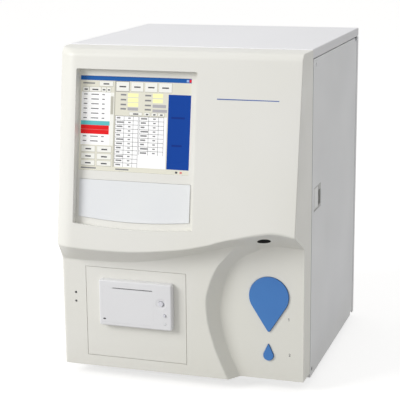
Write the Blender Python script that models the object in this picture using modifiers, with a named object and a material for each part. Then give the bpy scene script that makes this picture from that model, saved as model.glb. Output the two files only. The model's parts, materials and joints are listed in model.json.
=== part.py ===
# Benchtop hematology analyzer, built as separate pieces in metres, +Z up.
# X runs to the right, Y to the back. Every piece hangs on the empty "case_frame": its zero is the middle of
# the case's front plane at the case's lower edge, and sizes below are counted from there.

import math

import bmesh
import bpy
from mathutils import Matrix, Vector

# Case
CASE_WIDTH = 0.340
CASE_DEPTH = 0.310
CASE_HEIGHT = 0.450
FOOT_HEIGHT = 0.008
FOOT_RADIUS = 0.011
FOOT_INSET = 0.035
SHEET = 0.0015
GAP = 0.0003
SEAM = 0.0008
OVERRUN = 0.006
MERGE = 0.00001
COVER_FLANGE = 0.0125
COVER_ROUND = 0.0013
REAR_FLANGE = 0.010
TRAY_EDGE = 0.015
EDGE_LAP = 0.012
HALF = CASE_WIDTH / 2
INNER_HALF = HALF - SHEET - GAP
CEILING = CASE_HEIGHT - SHEET - GAP
SIDE_TOP = CASE_HEIGHT - COVER_FLANGE - SEAM
TRAY_INNER = SHEET + GAP + SHEET + GAP

# Front bezel
WALL = 0.003
LIP_REACH = 0.0898
LIP_SWEEP = 0.0058
TOP_REACH = 0.0495
TOP_DROP = 0.001
TOP_RADIUS = 0.012
LOWER_REACH = 0.0546
PANEL_REACH = 0.036
PANEL_WALL = 0.006
BEZEL_BOTTOM = 0.008
SIDE_DRAFT = 0.0023
LEFT_RADIUS = 0.028
LOWER_RADIUS = 0.004
LIP_REFERENCE_HEIGHT = CASE_HEIGHT * 0.495556
BAND_RISE = 0.0015
RIGHT_BAND_HEIGHT = CASE_HEIGHT * 0.411111
# Places along the front, as shares of half the width and of the height
LIP_SHARES = (
    (-1.0, 0.417), (-0.92, 0.4155), (-0.65, 0.411), (-0.394, 0.411), (-0.259, 0.4135), (-0.135, 0.418),
    (0.112, 0.4305), (0.33, 0.450), (0.376, 0.457), (0.582, 0.479), (0.724, 0.492), (0.818, 0.4975),
    (0.894, 0.4965), (1.0, 0.489),
)
BAND_SHARES = (
    (-1.0, 0.3575), (-0.735, 0.357), (-0.47, 0.3595), (-0.212, 0.371), (0.045, 0.392), (0.27, 0.415),
    (0.488, 0.437),
)
COLUMN_SHARES = (
    -0.76, -0.65, -0.52, -0.394, -0.259, -0.135, 0.0, 0.112, 0.22, 0.33, 0.41, 0.488, 0.582, 0.65, 0.724,
    0.818, 0.894, 0.95, 1.0,
)
RECESS_OUTER_SHARES = (
    (0.441, -0.011), (0.402, 0.023), (0.321, 0.093), (0.268, 0.154), (0.241, 0.200), (0.230, 0.247),
    (0.238, 0.278), (0.276, 0.326), (0.334, 0.371), (0.416, 0.407), (0.488, 0.437), (0.610, 0.4396),
    (0.681, 0.451), (0.824, 0.4565), (1.03, 0.452),
)
RECESS_INNER_SHARES = (
    (0.518, -0.011), (0.479, 0.019), (0.400, 0.084), (0.349, 0.140), (0.324, 0.187), (0.316, 0.229),
    (0.326, 0.267), (0.349, 0.307), (0.399, 0.349), (0.479, 0.382), (0.529, 0.397), (0.610, 0.413),
    (0.681, 0.427), (0.824, 0.431), (1.03, 0.428),
)
RECESS_SIDE_COUNT = 11
RECESS_FOOT_SHARE = -0.011
CURVE_STEPS = 3

# Screen, trim plate and their places on the fascia
SCREEN_LEFT = HALF * -0.811765
SCREEN_RIGHT = HALF * 0.176471
SCREEN_TOP = CASE_HEIGHT * 0.94
SCREEN_FOOT = CASE_HEIGHT * 0.487778
SCREEN_BOW = 0.0045
SCREEN_DEPTH = 0.012
SCREEN_RIM = 0.0025
SCREEN_PLATE = 0.003
SCREEN_MARGIN = 0.007
LCD_LEFT = HALF * -0.805882
LCD_RIGHT = HALF * 0.111765
LCD_FOOT = CASE_HEIGHT * 0.642222
LCD_TOP = CASE_HEIGHT * 0.915556
LCD_BORDER = 0.004
LCD_THICKNESS = 0.009
TRIM_LEFT = HALF * -0.788235
TRIM_RIGHT = HALF * 0.132353
TRIM_FOOT = CASE_HEIGHT * 0.507778
TRIM_TOP = CASE_HEIGHT * 0.617778
TRIM_THICKNESS = 0.0015
BOW_POINTS = 9

# Printer and its mounting panel
PANEL_LEFT = HALF * -0.784706
PANEL_RIGHT = HALF * 0.067059
PANEL_FOOT = CASE_HEIGHT * 0.053333
PANEL_TOP = CASE_HEIGHT * 0.337333
PANEL_THICKNESS = 0.0012
PRINTER_LEFT = HALF * -0.651765
PRINTER_RIGHT = HALF * -0.035294
PRINTER_FOOT = CASE_HEIGHT * 0.161111
PRINTER_TOP = CASE_HEIGHT * 0.304889
PRINTER_PROUD = 0.010
PRINTER_DEPTH = 0.046
PRINTER_INSET = 0.003
PRINTER_WALL = 0.002
PRINTER_COLUMN = 0.026
PRINTER_ROUND = 0.003
SLOT_HEIGHT = CASE_HEIGHT * 0.282222
COVER_PLATE = 0.0022
COVER_PIVOT = 0.0016
COVER_PIN = 0.001
PAPER_RADIUS = 0.0165
PAPER_BORE = 0.006
PAPER_WIDTH = (PRINTER_RIGHT - PRINTER_LEFT) * 0.539122
PLATEN_RADIUS = 0.003
PLATEN_SHAFT = 0.0012
RELEASE_X = PRINTER_RIGHT - 0.015
RELEASE_Z = CASE_HEIGHT * 0.244444
RELEASE_RADIUS = 0.0038
FEED_X = PRINTER_RIGHT - 0.010
FEED_Z = CASE_HEIGHT * 0.208889
FEED_RADIUS = 0.002
LAMP_X = PRINTER_RIGHT - 0.0094
LAMP_Z = CASE_HEIGHT * 0.181778
LAMP_RADIUS = 0.0015
BUTTON_GAP = 0.0004
BUTTON_PROUD = 0.0012
BUTTON_TRAVEL = 0.001
BUTTON_LENGTH = 0.006
STATUS_X = HALF * -0.876471
STATUS_HEIGHTS = (CASE_HEIGHT * 0.251111, CASE_HEIGHT * 0.223333)
STATUS_RADIUS = 0.0014

# Drop-shaped plates
START_X = HALF * 0.715882
START_Z = CASE_HEIGHT * 0.276667
START_RADIUS = 0.0272
START_POINT = CASE_HEIGHT * 0.168444
DILUTE_X = HALF * 0.713529
DILUTE_Z = CASE_HEIGHT * 0.093333
DILUTE_RADIUS = 0.0070
DILUTE_POINT = CASE_HEIGHT * 0.135556
DROP_TIP = 0.0022
DROP_TIP_SMALL = 0.0006
DROP_PROUD = 0.0022
DROP_SINK = 0.0006
DROP_POCKET = 0.0028
DROP_GAP = 0.0005
DROP_STEM = 0.003
SWITCH_SIZE = 0.012
SWITCH_DEPTH = 0.008
SWITCH_BORE = 0.0036
STEM_REACH = 0.002

# Sampling unit
PROBE_X = HALF * 0.711765
PROBE_Y = -0.060
PROBE_HOLE = 0.009
PROBE_RADIUS = 0.0012
PROBE_TIP = CASE_HEIGHT * 0.485556
PROBE_TRAVEL = 0.070
UNIT_WIDTH = 0.058
UNIT_FOOT = CASE_HEIGHT * 0.511111
UNIT_TOP = CASE_HEIGHT * 0.906667
UNIT_PLATE = 0.002
UNIT_SHELF = 0.046
UNIT_NOSE = 0.071
UNIT_NOSE_WIDTH = 0.026
ROD_RADIUS = 0.003
ROD_SPACING = 0.034
ROD_Y = -0.026
SCREW_RADIUS = 0.0025
CARRIAGE_WIDTH = 0.048
CARRIAGE_FRONT = -0.036
CARRIAGE_BACK = -0.016
CARRIAGE_REST = 0.006
CARRIAGE_FOOT = UNIT_FOOT + UNIT_PLATE + PROBE_TRAVEL + CARRIAGE_REST
CARRIAGE_HEIGHT = 0.024
ARM_WIDTH = 0.010
ARM_FRONT = -0.0645
ARM_HEIGHT = 0.010
SLIDE_CLEARANCE = 0.0004
MOTOR_SIZE = 0.028
MOTOR_HEIGHT = 0.030
WASH_RADIUS = 0.008
WASH_BORE = 0.003
WASH_HEIGHT = 0.010
WASH_FLANGE = 0.0115

# Service side
DIVIDER_X = 0.028
DOOR_SEAM = 0.001
DOOR_CHANNEL = 0.008
DOOR_RETURN = 0.006
KNUCKLE_RADIUS = 0.0035
PIVOT_PIN = 0.0018
PIVOT_REACH = 0.010
PIVOT_PLATE = 0.003
PIVOT_NOTCH = 0.014
LATCH_FRONT = 0.0143
LATCH_BACK = 0.0547
LATCH_FOOT = CASE_HEIGHT * 0.514
LATCH_HEIGHT = 0.0324
LATCH_TOP = LATCH_FOOT + LATCH_HEIGHT
LATCH_DEPTH = 0.013
LATCH_WALL = 0.0015
PADDLE_LENGTH = 0.0245
PADDLE_PLATE = 0.002
PADDLE_PIN = 0.0007
SCREW_Y = 0.016
SCREW_DROP = 0.0077
SCREW_Z = SIDE_TOP - SCREW_DROP
SCREW_HEAD = 0.0030
SCREW_HEAD_HEIGHT = 0.0010

# Fluid system
SHELF_SHEET = 0.002
SHELF_FRONT = 0.050
SHELF_BACK = 0.130
SHELF_Z = CASE_HEIGHT * 0.422222
SHELF_RISE = 0.060
SHELF_REACH = 0.088
BATH_Y = 0.090
BATH_PITCH = 0.038
BATH_FIRST = 0.024
BATH_RADIUS = 0.014
BATH_WALL = 0.002
BATH_HEIGHT = 0.048
BATH_FLANGE = 0.017
BATH_DROP = 0.036
NIPPLE_RADIUS = 0.003
NIPPLE_LENGTH = 0.010
SYRINGE_Y = CASE_DEPTH * 0.612903
SYRINGE_X = 0.052
SYRINGE_PLATE = 0.004
SYRINGE_HALF = 0.024
SYRINGE_TOP = CASE_HEIGHT * 0.666667
BARREL_RADIUS = 0.009
BARREL_BORE = 0.0075
BARREL_FOOT = CASE_HEIGHT * 0.44
BARREL_TOP = CASE_HEIGHT * 0.613333
CLAMP_HEIGHT = 0.020
PISTON_LENGTH = 0.012
PISTON_TOP = CASE_HEIGHT * 0.591111
PLUNGER_ROD = 0.003
PLUNGER_TRAVEL = 0.045
PLUNGER_REST = 0.019
CROSSHEAD = 0.020
CROSSHEAD_HEIGHT = 0.012
CROSSHEAD_FOOT = BARREL_FOOT - PISTON_LENGTH - CROSSHEAD_HEIGHT
SYRINGE_FOOT = CROSSHEAD_FOOT - PLUNGER_TRAVEL - PLUNGER_REST
VALVE_FRONT = 0.060
VALVE_BACK = CASE_DEPTH * 0.806452
VALVE_FOOT = CASE_HEIGHT * 0.744444
VALVE_TOP = CASE_HEIGHT * 0.833333
VALVE_PLATE = 0.006
VALVE_RADIUS = 0.010
VALVE_LENGTH = 0.034
VALVE_COUNT = 6
CHAMBER_X = HALF * 0.617647
CHAMBER_Y = CASE_DEPTH * 0.725806
CHAMBER_RADIUS = 0.028
CHAMBER_HEIGHT = 0.075
CHAMBER_NECK = 0.008
TUBE_RADIUS = 0.002

# Electronics and rear
SUPPLY_WIDTH = 0.090
SUPPLY_DEPTH = 0.110
SUPPLY_HEIGHT = 0.058
SUPPLY_X = HALF * -0.617647
SUPPLY_BACK = CASE_DEPTH - REAR_FLANGE
TERMINAL_HEIGHT = 0.012
TERMINAL_DEPTH = 0.014
PUMP_X = HALF * -0.647059
PUMP_Y = 0.110
PUMP_RADIUS = 0.017
PUMP_LENGTH = 0.055
PUMP_HEAD = 0.040
BOARD_THICKNESS = 0.0016
BOARD_OFFSET = 0.006
BOARD_FRONT = 0.040
BOARD_BACK = CASE_DEPTH * 0.806452
BOARD_FOOT = CASE_HEIGHT * 0.311111
BOARD_TOP = CASE_HEIGHT * 0.888889
BOARD_MARGIN = 0.010
STANDOFF_RADIUS = 0.003
# Components as shares of the board: front, foot, back, top, then height in a size
BOARD_CHIP_SHARES = (
    (0.12, 0.62, 0.30, 0.78), (0.40, 0.60, 0.66, 0.82), (0.75, 0.65, 0.90, 0.78), (0.14, 0.25, 0.34, 0.45),
    (0.45, 0.28, 0.60, 0.42), (0.70, 0.12, 0.92, 0.50),
)
CHIP_HEIGHT = 0.006
FAN_X = HALF * -0.588235
FAN_Z = CASE_HEIGHT * 0.766667
FAN_SIZE = 0.080
FAN_DEPTH = 0.025
FAN_BORE = 0.038
FAN_HUB = 0.016
FAN_BLADES = 7
FAN_TIP_GAP = 0.0015
FAN_BLADE = 0.0018
FAN_STRUT = 0.004
FAN_PLATE = 0.003
GUARD_WIRE = 0.0015
GUARD_RINGS = (0.014, 0.023, 0.032, 0.040)
GUARD_PROUD = 0.003
INLET_X = HALF * -0.617647
INLET_Z = CASE_HEIGHT * 0.233333
INLET_WIDTH = 0.048
INLET_HEIGHT = 0.034
INLET_DEPTH = 0.026
INLET_FLANGE = 0.004
INLET_LIP = 0.002
SOCKET_WIDTH = 0.024
SOCKET_HEIGHT = 0.017
SOCKET_DEPTH = 0.015
SOCKET_SHIFT = 0.009
CONTACT_REACH = 0.009
CONTACT_WIDTH = 0.002
CONTACT_PITCH = 0.007
ROCKER_WIDTH = 0.013
ROCKER_HEIGHT = 0.020
ROCKER_DEPTH = 0.008
ROCKER_SHIFT = 0.0125
ROCKER_GAP = 0.0012
ROCKER_FACE_SHARE = 0.9
ROCKER_BACK_SHARE = 0.8
PORT_X = HALF * 0.529412
PORT_Z = CASE_HEIGHT * 0.177778
PORT_COUNT = 4
PORT_PITCH = 0.024
PORT_PLATE = 0.003
PORT_HEIGHT = 0.026
PORT_RADIUS = 0.0035
REAR_REACH = 0.014
LINK_X = 0.005
LINK_Z = CASE_HEIGHT * 0.666667
LINK_WIDTH = 0.018
LINK_HEIGHT = 0.070
LINK_PROUD = 0.004
LINK_DEPTH = 0.012

# How round shapes are divided
ROUND_SIDES = 24
SMALL_SIDES = 16
TINY_SIDES = 12
ARC_STEPS = 4
SMOOTH_ANGLE = math.radians(35)

# Where the case frame stands, so that the origin is under the middle of the whole box
FRONT_Y = (LIP_REACH - CASE_DEPTH - REAR_REACH) / 2
FASCIA_RUN = LIP_REACH - LIP_SWEEP - TOP_REACH
FASCIA_TILT = math.atan2(FASCIA_RUN, CASE_HEIGHT - TOP_DROP - LIP_REFERENCE_HEIGHT)

IVORY = (0.80, 0.79, 0.75)
CASE_GREY = (0.74, 0.76, 0.79)
COVER_WHITE = (0.88, 0.89, 0.90)
PRINTER_WHITE = (0.84, 0.85, 0.89)
TRIM_GREY = (0.78, 0.80, 0.82)
DROP_BLUE = (0.06, 0.19, 0.50)
METAL_SHARE = 0.9
STEEL = (0.62, 0.63, 0.65)
DARK = (0.03, 0.03, 0.035)
BLACK_PLASTIC = (0.05, 0.05, 0.055)
BOARD_GREEN = (0.03, 0.20, 0.09)
CLEAR = (0.80, 0.86, 0.88)
PAPER = (0.90, 0.90, 0.88)
SCREEN_BLUE = (0.55, 0.62, 0.75)


# Scene

def clear_scene():
    for item in list(bpy.data.objects):
        bpy.data.objects.remove(item, do_unlink=True)


def new_collection(name):
    made = bpy.data.collections.new(name)
    bpy.context.scene.collection.children.link(made)
    return made


clear_scene()
PARTS = new_collection("hematology_analyzer")
CUTTERS = new_collection("cutters")
CASE_FRAME = bpy.data.objects.new("case_frame", None)
CASE_FRAME.location = (0, FRONT_Y, FOOT_HEIGHT)
PARTS.objects.link(CASE_FRAME)


def paint(piece, colour, roughness, metallic=0.0):
    finish = bpy.data.materials.new(piece.name)
    finish.use_nodes = True
    shader = finish.node_tree.nodes["Principled BSDF"]
    shader.inputs["Base Color"].default_value = (*colour, 1)
    shader.inputs["Roughness"].default_value = roughness
    shader.inputs["Metallic"].default_value = metallic
    piece.data.materials.clear()
    piece.data.materials.append(finish)


def add_piece(name, shape, location=(0, 0, 0), rotation=(0, 0, 0)):
    """Makes an object on the case frame out of a bmesh or a mesh."""
    if isinstance(shape, bmesh.types.BMesh):
        mesh = bpy.data.meshes.new(name)
        shape.to_mesh(mesh)
        shape.free()
    else:
        mesh = shape
    piece = bpy.data.objects.new(name, mesh)
    piece.location = location
    piece.rotation_euler = rotation
    piece.parent = CASE_FRAME
    PARTS.objects.link(piece)
    return piece


def as_tool(piece):
    """Turns a shape into a helper that only cuts or joins."""
    PARTS.objects.unlink(piece)
    CUTTERS.objects.link(piece)
    piece.hide_render = True
    piece.display_type = "WIRE"
    return piece


def combine(piece, other, operation, solver="EXACT"):
    step = piece.modifiers.new(operation.lower(), "BOOLEAN")
    step.operation = operation
    step.solver = solver
    step.object = as_tool(other)
    return piece


def cut(piece, *others, solver="EXACT"):
    for other in others:
        combine(piece, other, "DIFFERENCE", solver)
    return piece


def join(piece, *others):
    for other in others:
        combine(piece, other, "UNION")
    return piece


def smooth(piece):
    piece.data.shade_smooth()
    piece.data.set_sharp_from_angle(angle=SMOOTH_ANGLE)
    return piece


def move_origin(piece, point):
    """Puts the object's origin on a joint axis without moving the shape. Only for unturned pieces."""
    shift = Vector(point) - piece.location
    piece.data.transform(Matrix.Translation(-shift))
    piece.location = point
    return piece


# Basic shapes, placed by their corners or ends in the case frame

def block(name, low, high, fillet=0.0, fillet_steps=2):
    low, high = Vector(low), Vector(high)
    shape = bmesh.new()
    bmesh.ops.create_cube(shape, size=1.0)
    bmesh.ops.scale(shape, vec=high - low, verts=shape.verts)
    piece = add_piece(name, shape, (low + high) / 2)
    if fillet:
        rounding = piece.modifiers.new("fillet", "BEVEL")
        rounding.width = min(fillet, min(high - low) / 3)
        rounding.segments = fillet_steps
    return piece


def turn_to(axis):
    return Vector((0, 0, 1)).rotation_difference(Vector(axis)).to_euler()


def drum(name, start, axis, length, radius, end_radius=None, sides=ROUND_SIDES):
    """A cylinder or cone that starts at a point and runs along an axis."""
    shape = bmesh.new()
    end_radius = radius if end_radius is None else end_radius
    bmesh.ops.create_cone(
        shape, cap_ends=True, segments=sides, radius1=radius, radius2=end_radius, depth=length
    )
    direction = Vector(axis).normalized()
    turn = Vector((0, 0, 1)).rotation_difference(direction).to_matrix().to_4x4()
    bmesh.ops.transform(shape, matrix=turn, verts=shape.verts)
    return smooth(add_piece(name, shape, Vector(start) + direction * length / 2))


def turned(name, base, profile, axis=(0, 0, 1), sides=ROUND_SIDES):
    """A profile of (radius, height) from its top down its outer side, spun round an axis through base.

    A ring's profile ends where it starts. A stretch along the axis has no edge.
    """
    mesh = bpy.data.meshes.new(name)
    ends = list(zip(range(len(profile) - 1), range(1, len(profile))))
    if profile[0] == profile[-1]:
        profile = profile[:-1]
        ends[-1] = (ends[-1][0], 0)
    edges = [(i, j) for i, j in ends if profile[i][0] or profile[j][0]]
    mesh.from_pydata([(radius, 0, height) for radius, height in profile], edges, [])
    piece = add_piece(name, mesh, base, turn_to(axis))
    spin = piece.modifiers.new("spin", "SCREW")
    spin.steps = sides
    spin.render_steps = sides
    spin.use_merge_vertices = True
    spin.merge_threshold = MERGE
    spin.use_smooth_shade = False
    return piece


def flat_plate(name, outline, front_y, thickness):
    """A flat piece in the XZ plane from its outline, with its front at front_y and its back behind it."""
    curve = bpy.data.curves.new(name, "CURVE")
    curve.dimensions = "2D"
    curve.fill_mode = "BOTH"
    curve.extrude = thickness / 2
    line = curve.splines.new("POLY")
    line.points.add(len(outline) - 1)
    for point, (x, z) in zip(line.points, outline):
        point.co = (x, z, 0, 1)
    line.use_cyclic_u = True
    drawn = bpy.data.objects.new(name + "_outline", curve)
    CUTTERS.objects.link(drawn)
    bpy.context.view_layer.update()
    graph = bpy.context.evaluated_depsgraph_get()
    mesh = bpy.data.meshes.new_from_object(drawn.evaluated_get(graph))
    bpy.data.objects.remove(drawn)
    shape = bmesh.new()
    shape.from_mesh(mesh)
    bpy.data.meshes.remove(mesh)
    bmesh.ops.remove_doubles(shape, verts=shape.verts, dist=GAP / 10)
    upright = Matrix.Rotation(math.pi / 2, 4, "X")
    bmesh.ops.transform(shape, matrix=upright, verts=shape.verts)
    bmesh.ops.recalc_face_normals(shape, faces=shape.faces)
    return add_piece(name, shape, (0, front_y + thickness / 2, 0))


def loft(name, rings):
    """A closed solid through rings with the same number of points."""
    shape = bmesh.new()
    loops = [[shape.verts.new(point) for point in ring] for ring in rings]
    count = len(rings[0])
    for near, far in zip(loops, loops[1:]):
        for i in range(count):
            j = (i + 1) % count
            shape.faces.new((near[i], near[j], far[j], far[i]))
    shape.faces.new(loops[0][::-1])
    shape.faces.new(loops[-1])
    bmesh.ops.triangulate(shape, faces=shape.faces)
    bmesh.ops.recalc_face_normals(shape, faces=shape.faces)
    return add_piece(name, shape)


def tube(name, route, radius):
    """A hose along a smooth curve through its points."""
    curve = bpy.data.curves.new(name, "CURVE")
    curve.dimensions = "3D"
    curve.bevel_depth = radius
    curve.bevel_resolution = 2
    curve.use_fill_caps = True
    points = smooth_route(route)
    line = curve.splines.new("POLY")
    line.points.add(len(points) - 1)
    for point, place in zip(line.points, points):
        point.co = (*place, 1)
    piece = bpy.data.objects.new(name, curve)
    piece.parent = CASE_FRAME
    PARTS.objects.link(piece)
    return piece


def hermite(a, b, slope_a, slope_b, t):
    return (
        a * (2 * t**3 - 3 * t**2 + 1)
        + slope_a * (t**3 - 2 * t**2 + t)
        + b * (3 * t**2 - 2 * t**3)
        + slope_b * (t**3 - t**2)
    )


def smooth_route(points, steps=CURVE_STEPS):
    """Points on a smooth curve through the given ones."""
    points = [Vector(point) for point in points]
    slopes = []
    for i in range(len(points)):
        before, after = points[max(i - 1, 0)], points[min(i + 1, len(points) - 1)]
        slopes.append((after - before) / 2)
    route = []
    for i in range(len(points) - 1):
        for step in range(steps):
            route.append(hermite(points[i], points[i + 1], slopes[i], slopes[i + 1], step / steps))
    route.append(points[-1])
    return route


# The bezel's surfaces

def height_at(shares, x):
    """The height of a front line at x, smooth between its points."""
    places = [(share * HALF, height * CASE_HEIGHT) for share, height in shares]
    if x >= places[-1][0]:
        return places[-1][1]
    i = max(n for n in range(len(places) - 1) if places[n][0] <= max(x, places[0][0]))

    def slope(n):
        low, high = places[max(n - 1, 0)], places[min(n + 1, len(places) - 1)]
        return (high[1] - low[1]) / (high[0] - low[0])

    width = places[i + 1][0] - places[i][0]
    t = (x - places[i][0]) / width
    return hermite(places[i][1], places[i + 1][1], slope(i) * width, slope(i + 1) * width, t)


def fascia_y(z):
    """The slanted upper front, away from its rounded corners."""
    return -TOP_REACH - (CASE_HEIGHT - TOP_DROP - z) * math.tan(FASCIA_TILT)


def lip_y(x):
    swing = (HALF - x) / CASE_WIDTH
    return -(LIP_REACH - LIP_SWEEP) - LIP_SWEEP * swing**2


def corner_set_back(x, radius, left_end):
    inward = x - left_end
    if inward >= radius:
        return 0.0
    return radius - math.sqrt(max(radius**2 - (radius - inward) ** 2, 0.0))


def band_height(x):
    last = BAND_SHARES[-1][0] * HALF
    if x <= last:
        return height_at(BAND_SHARES, x)
    return RIGHT_BAND_HEIGHT


def bezel_section(x, left_end, inset, lift):
    """One upright section of the bezel, counter-clockwise seen from the right, in (y, z)."""
    back = -GAP if not inset else OVERRUN
    wide = corner_set_back(x, LEFT_RADIUS - inset, left_end)
    narrow = corner_set_back(x, max(LOWER_RADIUS - inset, inset), left_end)
    bottom = BEZEL_BOTTOM + inset
    top = CASE_HEIGHT - TOP_DROP - inset
    radius = TOP_RADIUS - inset
    lip = height_at(LIP_SHARES, x) + lift
    band = band_height(x) + lift
    low_y = -LOWER_REACH + inset + narrow
    lip_front = lip_y(x) + inset + wide
    centre_z = top - radius
    centre_y = fascia_y(centre_z) + inset / math.cos(FASCIA_TILT) + wide + radius / math.cos(FASCIA_TILT)
    section = [(back, bottom), (low_y, bottom), (low_y, band), (lip_front, lip)]
    last = math.pi - FASCIA_TILT
    for step in range(ARC_STEPS + 1):
        angle = last + (math.pi / 2 - last) * step / ARC_STEPS
        section.append((centre_y + radius * math.cos(angle), centre_z + radius * math.sin(angle)))
    section.append((back, top))
    return section


def drafted(x, y):
    return x * (1 - SIDE_DRAFT / HALF * min(-y, LIP_REACH) / LIP_REACH)


def bezel_block(name, inset, lift):
    left_end = -HALF + inset
    right_end = HALF - inset
    columns = []
    for step in range(ARC_STEPS + 1):
        angle = math.pi / 2 * step / ARC_STEPS
        columns.append(left_end + (LEFT_RADIUS - inset) * (1 - math.cos(angle)))
    columns += [min(share * HALF, right_end) for share in COLUMN_SHARES if share * HALF > columns[-1]]
    rings = []
    for x in columns:
        rings.append([(drafted(x, y), y, z) for y, z in bezel_section(x, left_end, inset, lift)])
    return loft(name, rings)


def recess_outline(shares, grow):
    """The D-shaped edge of the recess, smooth, pushed outwards by grow, closed far to the right and below."""
    line = [Vector((x * HALF, z * CASE_HEIGHT)) for x, z in shares]
    fine = smooth_route(line, 2)
    pushed = []
    for i, point in enumerate(fine):
        along = fine[min(i + 1, len(fine) - 1)] - fine[max(i - 1, 0)]
        outward = Vector((-along.y, along.x)).normalized()
        pushed.append(point + outward * grow)
    pushed.append(Vector((pushed[-1].x, RECESS_FOOT_SHARE * CASE_HEIGHT - grow)))
    return pushed


def recess_block(name, grow, panel_y):
    """The sampling recess: inner edge on the panel, outer edge on the lower face, then forwards."""
    inner = recess_outline(RECESS_INNER_SHARES, grow)
    outer = recess_outline(RECESS_OUTER_SHARES, grow)
    rings = [[(p.x, panel_y, p.y) for p in inner], [(p.x, -LOWER_REACH, p.y) for p in outer]]
    forward = []
    reach = LIP_REACH + OVERRUN
    lip_reach = LIP_REACH - LIP_SWEEP
    share = (reach - LOWER_REACH) / (lip_reach - LOWER_REACH)
    side_end = RECESS_OUTER_SHARES[RECESS_SIDE_COUNT - 1][0] * HALF
    for p in outer:
        rise = 0.0
        if p.x >= side_end and p.y > 0:
            rise = (height_at(LIP_SHARES, min(p.x, HALF)) - BAND_RISE + grow - p.y) * share
        forward.append((p.x, -reach, p.y + rise))
    rings.append(forward)
    return loft(name, rings)


def bowed_outline(left, right, foot, top, bow):
    """A rectangle whose lower edge bows down in the middle."""
    outline = [(left, top), (left, foot)]
    for step in range(1, BOW_POINTS):
        share = step / BOW_POINTS
        outline.append((left + (right - left) * share, foot - bow * math.sin(math.pi * share)))
    outline += [(right, foot), (right, top)]
    return outline


def lay_on_fascia(piece, outward_shift):
    """Tilts an upright plate drawn at y = 0 to lie along the fascia, shifted out along its normal."""
    piece.rotation_euler = (-FASCIA_TILT, 0, 0)
    normal = Vector((0, -math.cos(FASCIA_TILT), math.sin(FASCIA_TILT)))
    foot = Vector((0, fascia_y(0), 0))
    drawn = Vector(piece.location)
    turn = Matrix.Rotation(-FASCIA_TILT, 3, "X")
    piece.location = foot + turn @ drawn + normal * outward_shift
    return piece


def up_fascia(z):
    """Distance along the fascia from height zero, for a point of the fascia at height z."""
    return z / math.cos(FASCIA_TILT)


def fascia_plate(name, outline, depth, thickness):
    """A plate parallel to the fascia: its front lies depth behind the fascia."""
    drawn = [(x, up_fascia(z)) for x, z in outline]
    piece = flat_plate(name, drawn, 0, thickness)
    return lay_on_fascia(piece, -depth)


def rectangle(left, right, foot, top):
    return [(left, top), (left, foot), (right, foot), (right, top)]


def drop_outline(x, z, radius, point_z, tip, grow=0.0):
    """A round head drawn to a rounded point above or below it."""
    head = radius + grow
    tip_radius = tip + grow
    away = abs(point_z - z) - tip
    lean = math.acos((head - tip_radius) / away)
    side = math.copysign(1, point_z - z)
    outline = []
    steps = ROUND_SIDES
    for step in range(steps + 1):
        angle = lean + (2 * math.pi - 2 * lean) * step / steps
        outline.append((x + head * math.sin(angle), z + side * head * math.cos(angle)))
    for step in range(ARC_STEPS + 1):
        angle = -lean + 2 * lean * step / ARC_STEPS
        height = away + tip_radius * math.cos(angle)
        outline.append((x + tip_radius * math.sin(angle), z + side * height))
    return outline


# Case and chassis

def make_base():
    tray = block(
        "base_chassis", (-INNER_HALF, SHEET + GAP, 0),
        (HALF - DOOR_CHANNEL, CASE_DEPTH - SHEET - GAP, TRAY_EDGE)
    )
    hollow = block(
        "tray_hollow", (-INNER_HALF + SHEET, TRAY_INNER - GAP, SHEET),
        (HALF + OVERRUN, CASE_DEPTH - TRAY_INNER + GAP, TRAY_EDGE + OVERRUN)
    )
    cut(tray, hollow)
    paint(tray, STEEL, 0.4, METAL_SHARE)
    names = {(-1, 0): "front_left", (1, 0): "front_right", (-1, 1): "rear_left", (1, 1): "rear_right"}
    for (side, back), name in names.items():
        x = side * (HALF - FOOT_INSET)
        y = FOOT_INSET + back * (CASE_DEPTH - 2 * FOOT_INSET)
        profile = [
            (0, -GAP), (FOOT_RADIUS, -GAP), (FOOT_RADIUS, -FOOT_HEIGHT / 4),
            (FOOT_RADIUS - FOOT_HEIGHT / 4, -FOOT_HEIGHT), (0, -FOOT_HEIGHT),
        ]
        foot = turned(f"foot_{name}", (x, y, 0), profile, sides=SMALL_SIDES)
        paint(foot, BLACK_PLASTIC, 0.8)


def make_top_cover():
    cover = block(
        "top_cover", (-HALF, 0, CASE_HEIGHT - COVER_FLANGE), (HALF, CASE_DEPTH, CASE_HEIGHT), COVER_ROUND
    )
    hollow = block(
        "cover_hollow", (-HALF + SHEET, -OVERRUN, CASE_HEIGHT - COVER_FLANGE - OVERRUN),
        (HALF - SHEET, CASE_DEPTH - SHEET, CASE_HEIGHT - SHEET)
    )
    cut(cover, hollow)
    paint(cover, COVER_WHITE, 0.35)


def make_left_panel():
    back = CASE_DEPTH - REAR_FLANGE
    panel = block("left_side_panel", (-HALF, 0, 0), (-HALF + SHEET, back - GAP, SIDE_TOP))
    behind = -HALF + SHEET + GAP
    lap = block(
        "left_lap", (behind - SHEET, EDGE_LAP, SIDE_TOP - EDGE_LAP),
        (behind + SHEET, back - EDGE_LAP, SIDE_TOP - SEAM)
    )
    tongue = block(
        "left_tongue", (behind, EDGE_LAP, SIDE_TOP - EDGE_LAP), (behind + SHEET, back - EDGE_LAP, CEILING)
    )
    join(panel, lap, tongue)
    paint(panel, CASE_GREY, 0.35)


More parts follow.
